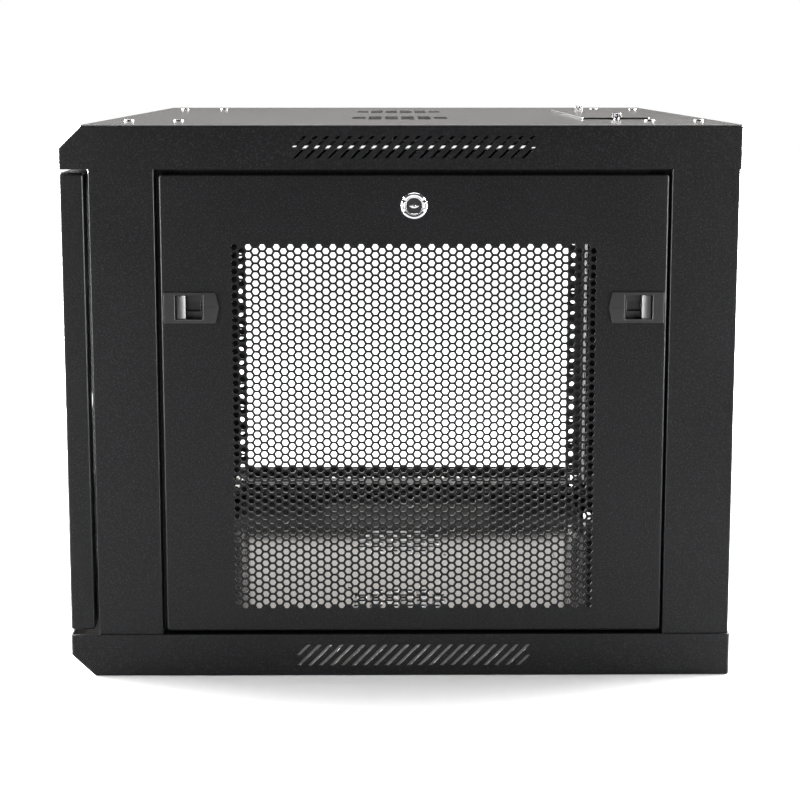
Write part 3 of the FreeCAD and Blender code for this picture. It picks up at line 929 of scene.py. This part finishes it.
@dataclass(frozen=True)
class FrontDoor:
    """The perforated steel door.

    Attributes:
        body: The body it rides on.
        node: The CAD node it stands for.
        thickness: The sheet's thickness.
        bend: The outer radius of its folds.
        lip: The width of the return behind its edges.
        recess: The radius of the hole in its face round the lock.
        seat: The outer radius of the ring behind the face that holds the lock.
        bore: The inner radius of that ring.
    """

    body: str = "door"
    node: str = "front_door"
    thickness: float = 1.5 * MM
    bend: float = 2.4 * MM
    lip: float = 16.0 * MM
    recess: float = 12.1 * MM
    seat: float = 17.0 * MM
    bore: float = 9.0 * MM

    def build(self) -> None:
        """Builds the door and the dished seat of its lock."""
        low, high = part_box(self.node)
        plane = facing_front(-low.y)
        middle, lock = middle_of((low, high)), middle_of(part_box("door_lock_barrel"))
        vents = VentField(76, 50, (middle.x, middle.z))
        centre = (lock.x, lock.z)
        sheet = FoldedSheet(plane, (low.x, low.z), (high.x, high.z), vents, [circle(centre, self.recess)],
                            self.thickness, self.bend, high.y - low.y, self.lip)
        install(sheet.make("perforated_front_door"), self.body, Finish.COAT, self.node)
        draft = Draft(plane)
        top, bottom = self.thickness, 2 * self.thickness + SINK
        corners = ((self.bore, top), (self.seat, top), (self.seat, bottom), (self.bore, bottom))
        rings = [draft.ring(circle(centre, radius), depth) for radius, depth in corners]
        draft.loft(rings + rings[:1])
        install(draft.finish("door_lock_seat"), self.body, Finish.COAT)


# Latches and locks


@dataclass(frozen=True)
class LatchPlace:
    """Where a slide latch sits: a pentagon that points to the panel's middle.

    Attributes:
        name: The stem of its CAD nodes' names.
        nose: How far the pentagon's point stands out.
    """

    name: str
    nose: float = 3.0 * MM

    def outline(self, inset: float) -> Loop:
        """Draws the pentagon.

        Args:
            inset: How far it is moved inwards.

        Returns:
            Its points, anticlockwise.
        """
        low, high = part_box(self.name + "_housing")
        toward = self.toward()
        back = (low.y if toward > 0 else high.y) + toward * inset
        tip = (high.y if toward > 0 else low.y) - toward * inset * 1.3
        shoulder = tip - toward * (self.nose - inset * 0.3)
        middle = (low.z + high.z) / 2
        half = (high.z - low.z) / 2 - inset
        points = [(back, middle - half), (shoulder, middle - half), (tip, middle),
                  (shoulder, middle + half), (back, middle + half)]
        return points if toward > 0 else list(reversed(points))

    def toward(self) -> int:
        """Returns +1 if the latch points to +Y and -1 if it points to -Y."""
        panel = middle_of(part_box("side_panel"))
        return 1 if middle_of(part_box(self.name + "_housing")).y < panel.y else -1


@dataclass(frozen=True)
class SlideLatch:
    """One moulded slide latch of the side panel.

    Attributes:
        place: Where it sits.
        body: The body that its slider rides on.
        cover_body: The body that its housing rides on.
        proud: How far its flange stands out from the panel.
        skirt: How far inside the flange the housing's wall stands.
        back: Depth of the housing's back.
        pocket: Depth of the floor behind its window.
        wall: Width of the flange beside its window.
        window: Width and height of its window.
        edge: The rounding of the flange.
        neck: Half the height of the slot for the slider's neck.
        ridge: Height and thickness of the direction mark.
        finger: Width of the slider's finger piece.
        flap: Depths of the dust flap behind the slot.
        tongue: Depths of the tongue that holds the frame.
        slope: Slopes in degrees where the scoop starts and ends.
    """

    place: LatchPlace
    body: str
    cover_body: str = "side_cover"
    proud: float = 1.9 * MM
    skirt: float = 2.2 * MM
    back: float = 11.5 * MM
    pocket: float = 8.0 * MM
    wall: float = 10.0 * MM
    window: Pair = (24.0 * MM, 21.5 * MM)
    edge: float = 0.45 * MM
    neck: float = 4.5 * MM
    ridge: float = 0.28 * MM
    finger: float = 8.0 * MM
    flap: Pair = (11.7 * MM, 12.5 * MM)
    tongue: Pair = (14.5 * MM, 17.5 * MM)
    slope: Pair = (20.0, 38.0)

    def build(self) -> None:
        """Builds the housing, its direction mark and the scooped slider."""
        plane = facing_right(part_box("side_panel")[1].x)
        self._housing(plane)
        self._mark(plane)
        self._slider(plane)

    def _span(self) -> tuple[float, float, float]:
        """Finds the window.

        Returns:
            Its two ends, outer end first, and its middle height.
        """
        toward = self.place.toward()
        ends = [u for u, _ in self.place.outline(0.0)]
        outer = (min(ends) + self.wall) if toward > 0 else (max(ends) - self.wall)
        middle = middle_of(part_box(self.place.name + "_housing"))
        return outer, outer + toward * self.window[0], middle.z

    def _housing(self, plane: Plane) -> None:
        """Builds the flange with its window, pocket and floor.

        Args:
            plane: The plane of the panel's face.
        """
        draft = Draft(plane)
        start, end, middle = self._span()
        half = self.window[1] / 2
        low, high = (min(start, end), middle - half), (max(start, end), middle + half)
        edge = self.edge
        skirts = [(edge, -self.proud), (edge * 0.3, edge * 0.3 - self.proud), (0.0, edge - self.proud),
                  (0.0, 0.0), (self.skirt, SINK / 2), (self.skirt, self.back)]
        outer = [draft.ring(self.place.outline(inset), depth) for inset, depth in skirts]
        lips = [(-edge, -self.proud), (0.0, edge - self.proud), (0.0, self.pocket)]
        window = []
        for inset, depth in lips:
            corners = (low[0] + inset, low[1] + inset), (high[0] - inset, high[1] - inset)
            window.append(draft.ring(rounded_box(*corners, MM + 0.2 * inset, 3), depth))
        draft.fill(draft.closed_edges(outer[0]) + draft.closed_edges(window[0]))
        draft.loft(outer)
        draft.loft(list(reversed(window)))
        near, far = low[0] + MM, high[0] - MM
        neck = rounded_box((near, middle - self.neck), (far, middle + self.neck), 0.5 * MM, 1)
        slot = draft.ring(neck, self.pocket)
        slot_back = draft.ring(neck, self.back)
        draft.fill(draft.closed_edges(window[-1]) + draft.closed_edges(slot))
        draft.bridge(slot_back, slot)
        draft.fill(draft.closed_edges(outer[-1]) + draft.closed_edges(slot_back))
        housing = draft.finish(self.place.name + "_bezel")
        install(housing, self.cover_body, Finish.NYLON, self.place.name + "_housing")

    def _mark(self, plane: Plane) -> None:
        """Adds the raised edge beside the window and the small moulded direction mark.

        Args:
            plane: The plane of the panel's face.
        """
        draft = Draft(plane)
        toward = self.place.toward()
        _, end, middle = self._span()
        top = -self.proud - 0.5 * MM
        half = self.window[1] / 2 + 0.4 * MM
        near, far = sorted((end + toward * 0.1 * MM, end + toward * 1.5 * MM))
        lip = rounded_box((near, middle - half), (far, middle + half), 0.3 * MM, 2)
        draft.slab(lip, top, -self.proud + SINK, 0.3 * MM)
        start = end + toward * 3.2 * MM
        length, rise, steps = 8.0 * MM, 1.5 * MM, 12
        for lift in (1, -1):
            outer, inner = [], []
            for step in range(steps + 1):
                share = step / steps
                u = start + toward * length * share
                v = middle + lift * rise * math.sin(math.pi * share) * (0.45 + 0.55 * share)
                outer.append((u, v + lift * self.ridge))
                inner.append((u, v - lift * self.ridge))
            loop = outer + list(reversed(inner))
            if lift * toward > 0:
                loop.reverse()
            rings = [draft.ring(loop, -self.proud - self.ridge), draft.ring(loop, -self.proud + SINK / 2)]
            draft.cap(rings[0])
            draft.loft(rings)
        install(draft.finish(self.place.name + "_mark"), self.cover_body, Finish.NYLON)

    def _slider(self, plane: Plane) -> None:
        """Builds the finger piece as a hooked section, with its neck, dust flap and tongue.

        Args:
            plane: The plane of the panel's face.
        """
        toward = self.place.toward()
        low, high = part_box(self.place.name + "_slider")
        start, _, middle = self._span()
        start += toward * 1.3 * MM
        width, base, crest = self.finger, self.pocket - 0.3 * MM, -0.2 * MM
        section = [(0.0, base), (0.0, crest + 0.4 * MM), (0.12 * MM, crest + 0.1 * MM), (0.4 * MM, crest)]
        steps, depth = 8, crest + 0.05 * MM
        run = (width - 1.2 * MM) / steps
        for step in range(steps + 1):
            section.append((0.8 * MM + run * step, depth))
            tilt = self.slope[0] + (self.slope[1] - self.slope[0]) * step / steps
            depth += run * math.tan(math.radians(tilt))
        section += [(width, depth), (width, base)]
        half = self.window[1] / 2 - 0.4 * MM
        draft = Draft(plane)
        ends = []
        for v in (middle - half, middle + half):
            ends.append([draft.vert(start + toward * u, v, depth) for u, depth in section])
        below, above = ends if toward > 0 else ends[::-1]
        draft.bridge(above, below)
        draft.mesh.faces.new(below)
        draft.mesh.faces.new(list(reversed(above)))
        near, far = sorted((start + toward * 1.8 * MM, start + toward * 7.5 * MM))
        neck = rounded_box((near, middle - 4 * MM), (far, middle + 4 * MM), 0.4 * MM, 1)
        draft.slab(neck, base - 0.2 * MM, sum(self.tongue) / 2, SINK)
        tongue = rounded_box((low.y, middle - 7 * MM), (high.y, middle + 7 * MM), 1.5 * MM, 3)
        draft.slab(tongue, *self.tongue, 0.5 * MM)
        near, far = sorted((start - toward * MM, start + toward * 20.0 * MM))
        flap = rounded_box((near, middle - 6 * MM), (far, middle + 6 * MM), 0.5 * MM, 1)
        draft.slab(flap, *self.flap, SINK)
        slider = draft.finish(self.place.name + "_finger_slide")
        install(slider, self.body, Finish.NYLON, self.place.name + "_slider")


@dataclass(frozen=True)
class CamLock:
    """A cam lock: plated barrel, black rotor, bright key guide, nut and cam.

    Attributes:
        name: The stem of its CAD nodes' names.
        body: The body that its barrel rides on.
        rotor_body: The body that its rotor rides on.
        plane: The plane of the face that it sits in.
        centre: Its axis on that plane.
        key_turn: How far the key slot is turned, in radians.
        flange: The radius of its flange.
        proud: How far the flange stands out.
        bore: The radius of the hole for its rotor.
        thread: The outer radius of its thread.
        groove: The depth of the thread.
        rise: Half the pitch of the thread.
        depth: How deep its barrel goes.
        sides: Sides of its round parts.
        notches: Where the flange's notches are, in degrees.
        notch_band: The radii that the notches lie between.
        notch_depth: How deep they are.
        notch_width: Half their width in degrees.
    """

    name: str
    body: str
    rotor_body: str
    plane: Plane
    centre: Pair
    key_turn: float
    flange: float = 12.0 * MM
    proud: float = 1.6 * MM
    bore: float = 7.0 * MM
    thread: float = 9.0 * MM
    groove: float = 0.3 * MM
    rise: float = 0.5 * MM
    depth: float = 15.0 * MM
    sides: int = 96
    notches: tuple[float, ...] = (30.0, 150.0, 210.0, 330.0)
    notch_band: Pair = (8.9 * MM, 11.5 * MM)
    notch_depth: float = 0.7 * MM
    notch_width: float = 9.0

    def build(self) -> None:
        """Builds the visible parts and dresses the nut and cam."""
        self._barrel()
        self._rotor()
        self._key_guide()
        soften(self.name + "_nut", Finish.ZINC, 0.4 * MM)
        soften(self.name + "_cam", Finish.ZINC, 0.3 * MM)

    def _turned(self, draft: Draft, section: Sequence[Pair]) -> None:
        """Turns a section round the lock's axis, with notches in its flange.

        Args:
            draft: The mesh being drawn.
            section: Its closed outline, as pairs of radius and depth.
        """
        rings = []
        for radius, depth in section:
            ring = []
            for step, (u, v) in enumerate(circle(self.centre, radius, self.sides)):
                sunk = self._notch(360 * step / self.sides, radius) if depth < 0 else 0.0
                ring.append(draft.vert(u, v, depth + sunk))
            rings.append(ring)
        draft.loft(rings + rings[:1])

    def _notch(self, angle: float, radius: float) -> float:
        """Works out how deep the flange's small notches are.

        Args:
            angle: The place round the axis, in degrees.
            radius: The distance from the axis.

        Returns:
            The depth there.
        """
        if not self.notch_band[0] < radius < self.notch_band[1]:
            return 0.0
        off = min(abs(angle - notch) for notch in self.notches)
        return self.notch_depth * max(0.0, 1 - off / self.notch_width)

    def _barrel(self) -> None:
        """Turns the stepped, domed flange and the threaded body."""
        top = -self.proud
        section = [
            (self.bore, self.depth), (self.bore, top + 0.35 * MM), (self.bore + 0.25 * MM, top + 0.1 * MM),
            (self.bore + 0.9 * MM, top + 0.05 * MM), (self.bore + 1.3 * MM, top + 0.45 * MM),
            (self.bore + 1.7 * MM, top + 0.4 * MM), (self.bore + 2.2 * MM, top + 0.05 * MM),
            (9.6 * MM, top), (10.2 * MM, top), (10.8 * MM, top + 0.1 * MM), (11.2 * MM, top + 0.3 * MM),
            (self.flange - 0.25 * MM, top + 0.8 * MM), (self.flange, -0.3 * MM), (self.flange, 0.0),
            (self.thread, 0.0),
        ]
        turns = [(self.thread - self.groove * (step % 2), self.proud + step * self.rise)
                 for step in range(26)]
        draft = Draft(self.plane)
        self._turned(draft, section + turns + [(self.thread, self.depth)])
        install(draft.finish(self.name + "_plated_barrel"), self.body, Finish.CHROME, self.name + "_barrel")

    def _rotor(self) -> None:
        """Turns the black rotor with a rounded rim."""
        radius, face = self.bore - SINK, -self.proud + 0.75 * MM
        draft = Draft(self.plane)
        steps = [(radius - 0.9 * MM, face), (radius - 0.3 * MM, face + 0.12 * MM), (radius, face + 0.5 * MM),
                 (radius, self.depth + 0.5 * MM)]
        rings = [draft.ring(circle(self.centre, r, self.sides), depth) for r, depth in steps]
        draft.cap(rings[0])
        draft.loft(rings)
        draft.cap(rings[-1], away=True)
        rotor = draft.finish(self.name + "_black_rotor")
        install(rotor, self.rotor_body, Finish.ROTOR, self.name + "_rotor")

    def _key_guide(self) -> None:
        """Adds the lens-shaped bright guide round the key slot."""
        draft = Draft(self.plane)
        count = 32
        top, foot = -self.proud + 0.35 * MM, -self.proud + 0.8 * MM
        loops = []
        for length, height, depth in ((0.9, 0.42, foot), (0.9, 0.42, top + 0.12 * MM), (1.1, 0.5, top),
                                      (3.9, 1.7, top), (4.3, 2.0, top + 0.15 * MM), (4.3, 2.0, foot)):
            loop = []
            for step in range(count):
                angle = math.tau * step / count
                u = length * MM * math.cos(angle)
                v = height * MM * math.sin(angle) * (0.4 + 0.6 * abs(math.sin(angle)))
                c, s = math.cos(self.key_turn), math.sin(self.key_turn)
                loop.append((self.centre[0] + u * c - v * s, self.centre[1] + u * s + v * c))
            loops.append(draft.ring(loop, depth))
        draft.loft(loops)
        install(draft.finish(self.name + "_key_guide"), self.rotor_body, Finish.CHROME)


# Frame parts that keep their CAD shape


@dataclass(frozen=True)
class DressedNodes:
    """A group of CAD nodes that share a finish and an edge rounding.

    Attributes:
        names: The nodes.
        finish: Their finish.
        edge: Their edge rounding in metres.
    """

    names: tuple[str, ...]
    finish: Finish
    edge: float

    def build(self) -> None:
        """Dresses each node."""
        for name in self.names:
            soften(name, self.finish, self.edge)


def sided(*stems: str) -> tuple[str, ...]:
    """Returns the left and the right node of each stem."""
    return tuple(f"{stem}_{side}" for stem in stems for side in ("left", "right"))


@dataclass(frozen=True)
class CabinetShell:
    """Covers, posts, sills, bars, gussets and rear panel.

    Attributes:
        groups: Its nodes, with the finish and the edge rounding of each group.
    """

    groups: tuple[DressedNodes, ...] = field(default=(
        DressedNodes(("top_cover",), Finish.COAT, 0.25 * MM),
        DressedNodes(("bottom_cover",), Finish.TRAY, 0.25 * MM),
        DressedNodes(sided("post_front", "post_rear"), Finish.COAT, 0.3 * MM),
        DressedNodes(sided("sill_top", "sill_bottom"), Finish.COAT, 0.3 * MM),
        DressedNodes(sided("depth_bar_top", "depth_bar_bottom"), Finish.RAIL, 0.3 * MM),
        DressedNodes(("top_gussets", "bottom_gussets", "rear_panel"), Finish.COAT, 0.3 * MM),
        DressedNodes(("top_cable_cover", "bottom_cable_cover"), Finish.COAT, 0.35 * MM),
        DressedNodes(("hinge_bracket_top", "hinge_bracket_bottom"), Finish.COAT, 0.3 * MM),
    ))

    def build(self) -> None:
        """Dresses every group."""
        for group in self.groups:
            group.build()


@dataclass(frozen=True)
class RackRails:
    """The four square-holed rails and their screws.

    Attributes:
        edge: The rounding of their edges.
    """

    edge: float = 0.25 * MM

    def build(self) -> None:
        """Dresses the rails and the screws that hold them."""
        rails = sided("rail_front", "rail_rear")
        DressedNodes(rails, Finish.RAIL, self.edge).build()
        DressedNodes(tuple(name + "_screws" for name in rails), Finish.ZINC, self.edge).build()


@dataclass(frozen=True)
class Fasteners:
    """Screws, pins and thumb screws.

    Attributes:
        black: The nodes of the black screws.
        bright: The nodes of the plated screws and pins.
        edge: Their edge rounding in metres.
        knurls: Ridges round a thumb screw.
        groove: A groove's radius as a share of a ridge's.
        profile: A thumb screw from its top down, as shares of its radius and depths in millimetres.
        shank: The shank's radius as a share of the head's.
    """

    black: tuple[str, ...] = ("top_cover_screws", "rear_panel_screws")
    bright: tuple[str, ...] = (
        "bottom_cover_screws", "depth_bar_screws", "hinge_bracket_screws", "hinge_pins",
    )
    edge: float = 0.2 * MM
    knurls: int = 36
    groove: float = 0.94
    profile: tuple[Pair, ...] = (
        (0.35, 0.9), (0.6, 0.25), (0.86, 0.0), (0.96, 0.25),
        (1.0, 0.8), (1.0, 3.6), (0.93, 4.2), (0.57, 4.2),
    )
    shank: float = 0.57

    def build(self) -> None:
        """Dresses the plain screws and makes the knurled thumb screws."""
        DressedNodes(self.black, Finish.SCREW, self.edge).build()
        DressedNodes(self.bright, Finish.ZINC, self.edge).build()
        for level in ("top", "bottom"):
            self._thumb_screws(level + "_cable_cover_screws")

    def _thumb_screws(self, node: str) -> None:
        """Replaces a pair of cable-cover screws by knurled ones.

        Args:
            node: The CAD node of the pair.
        """
        low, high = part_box(node)
        plane = Plane(Vector((1, 0, 0)), Vector((0, 1, 0)), Vector((0, 0, 1)), high.z)
        radius = (high.y - low.y) / 2
        draft = Draft(plane)
        for u in (low.x + radius, high.x - radius):
            middle = (u, (low.y + high.y) / 2)
            rings = []
            for share, depth in (*self.profile, (self.shank, (high.z - low.z) / MM)):
                ridges = circle(middle, radius * share, self.knurls * 2)
                grooves = circle(middle, radius * share * self.groove, self.knurls * 2)
                if share > 0.95:
                    ridges[1::2] = grooves[1::2]
                rings.append(draft.ring(ridges, depth * MM))
            draft.cap(rings[0])
            draft.loft(rings)
            draft.cap(rings[-1], away=True)
        install(draft.finish(node.replace("_screws", "_thumb_screws")), "cabinet", Finish.SCREW, node)


# Studio


@dataclass(frozen=True)
class Softbox:
    """One rectangular studio light.

    Attributes:
        name: Its name.
        place: Where it hangs.
        aim: What it points at.
        size: Its width and height.
        power: Its power in watts.
        highlight: Whether it only makes highlights on glossy surfaces.
    """

    name: str
    place: tuple[float, float, float]
    aim: tuple[float, float, float]
    size: Pair
    power: float
    highlight: bool = False

    def build(self) -> None:
        """Adds the light."""
        lamp = bpy.data.lights.new(self.name, "AREA")
        lamp.shape = "RECTANGLE"
        lamp.size, lamp.size_y = self.size
        lamp.energy = self.power
        holder = bpy.data.objects.new(self.name, lamp)
        holder.location = self.place
        away = Vector(self.place) - Vector(self.aim)
        holder.rotation_euler = away.to_track_quat("Z", "Y").to_euler()
        bpy.context.scene.collection.objects.link(holder)
        holder.visible_diffuse = not self.highlight
        holder.visible_camera = False


@dataclass(frozen=True)
class Studio:
    """White floor, white surroundings, softboxes and the camera.

    Attributes:
        floor_size: The floor's side in metres.
        camera_place: Where the camera stands.
        camera_pitch: How far it looks down, in degrees.
        camera_yaw: How far it is turned to the left, in degrees.
        lens: Its focal length in millimetres.
        shift: Its upright shift as a share of the frame.
        backdrop: Brightness of the white behind the cabinet.
        dark_side: What glossy surfaces mirror in front of it.
        haze: What they mirror behind it: near the floor, higher up, and overhead.
        warmth: The colour of what they mirror.
        lights: The softboxes.
    """

    floor_size: float = 14.0
    camera_place: tuple[float, float, float] = (1.6884, -0.0091, 0.5499)
    camera_pitch: float = 7.61
    camera_yaw: float = -0.344
    lens: float = 71.4
    shift: float = -0.15
    backdrop: float = 1.0
    dark_side: float = 0.06
    haze: tuple[float, float, float] = (0.03, 2.3, 0.3)
    warmth: Tone = (1.0, 0.955, 0.915)
    lights: tuple[Softbox, ...] = (
        Softbox("left_softbox", (-0.35, -1.2, 0.62), (-0.35, 0.0, 0.62), (1.2, 1.3), 4200.0, True),
        Softbox("right_softbox", (-0.35, 1.2, 0.62), (-0.35, 0.0, 0.62), (1.2, 1.3), 4200.0, True),
        Softbox("left_strip", (1.0, -1.3, 0.5), (0.3, 0.0, 0.4), (0.35, 1.0), 120.0, True),
        Softbox("right_strip", (1.0, 1.3, 0.5), (0.3, 0.0, 0.4), (0.35, 1.0), 120.0, True),
        Softbox("over_softbox", (-0.35, 0.0, 1.6), (-0.35, 0.0, 0.5), (1.2, 1.4), 25.0, True),
        Softbox("top_softbox", (0.2, 0.0, 2.4), (0.0, 0.0, 0.3), (1.8, 1.8), 60.0),
    )

    def build(self) -> None:
        """Builds the floor, the surroundings, the lights and the camera."""
        self._floor()
        self._surroundings()
        for light in self.lights:
            light.build()
        self._camera()
        bpy.context.scene.view_settings.view_transform = "Standard"
        LOG.info("studio ready")

    def _floor(self) -> None:
        """Adds a wide sheet of pale paper just under the cabinet."""
        half = self.floor_size / 2
        corners = [(-half, -half, 0), (half, -half, 0), (half, half, 0), (-half, half, 0)]
        data = bpy.data.meshes.new("studio_floor")
        data.from_pydata(corners, [], [(0, 1, 2, 3)])
        floor = bpy.data.objects.new("studio_floor", data)
        bpy.context.scene.collection.objects.link(floor)
        floor.data.materials.append(StudioPaper().material())

    def _surroundings(self) -> None:
        """Sets a white background that lights the back of the cabinet more than its right side."""
        world = bpy.data.worlds.new("studio_surroundings")
        world.use_nodes = True
        bpy.context.scene.world = world
        graph = Graph(world.node_tree)
        sky = next(n for n in graph.tree.nodes if n.type == "BACKGROUND")
        toward = graph.add("ShaderNodeTexCoord", output="Generated")
        depth, across, height = (graph.part_of(toward, axis) for axis in "XYZ")
        behind = graph.spread(depth, 0.6, -0.2, 0.0, 1.0)
        sides = graph.spread(across * across, 0.0, 0.06, 1.0, 0.4)
        rise = graph.spread(height, 0.1, 0.2, *self.haze[:2]) * sides
        fall = graph.spread(height, 0.25, 0.5, 1.0, self.haze[2] / self.haze[1])
        glow = behind * rise * fall + self.dark_side
        seen = graph.add("ShaderNodeLightPath", output="Is Camera Ray")
        strength = graph.add("ShaderNodeMix", {}, {0: seen, 2: glow, 3: self.backdrop})
        graph.tree.links.new(strength.socket, sky.inputs["Strength"])
        graph.tree.links.new(graph.blend(seen, self.warmth, (1.0, 1.0, 1.0)).socket, sky.inputs["Color"])

    def _camera(self) -> None:
        """Adds the camera, level with the top of the cabinet and square to its right side."""
        data = bpy.data.cameras.new("camera")
        data.lens = self.lens
        data.shift_y = self.shift
        camera = bpy.data.objects.new("camera", data)
        camera.location = self.camera_place
        pitch, yaw = math.radians(90 - self.camera_pitch), math.radians(90 + self.camera_yaw)
        camera.rotation_euler = (Matrix.Rotation(yaw, 3, "Z") @ Matrix.Rotation(pitch, 3, "X")).to_euler()
        bpy.context.scene.collection.objects.link(camera)
        bpy.context.scene.camera = camera


def side_lock() -> CamLock:
    """Places the lock of the side panel.

    Returns:
        The lock.
    """
    lock = middle_of(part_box("side_lock_barrel"))
    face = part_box("side_panel")[1].x
    return CamLock("side_lock", "side_cover", "side_key_cam", facing_right(face), (lock.y, lock.z), 0.0)


def door_lock() -> CamLock:
    """Places the lock of the door, sunk into its seat.

    Returns:
        The lock.
    """
    low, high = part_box("door_lock_barrel")
    lock, face = middle_of((low, high)), -low.y - CamLock.proud
    return CamLock("door_lock", "door", "door_key_cam", facing_front(face), (lock.x, lock.z), math.pi / 2)


def main() -> None:
    """Builds the cabinet's looks and the studio."""
    logging.basicConfig(level=logging.INFO, format="%(name)s: %(message)s")
    Studio().build()
    CabinetShell().build()
    RackRails().build()
    Fasteners().build()
    SidePanel().build()
    FrontDoor().build()
    SlideLatch(LatchPlace("latch_front"), "front_latch").build()
    SlideLatch(LatchPlace("latch_rear"), "rear_latch").build()
    side_lock().build()
    door_lock().build()


if __name__ == "__main__":
    main()
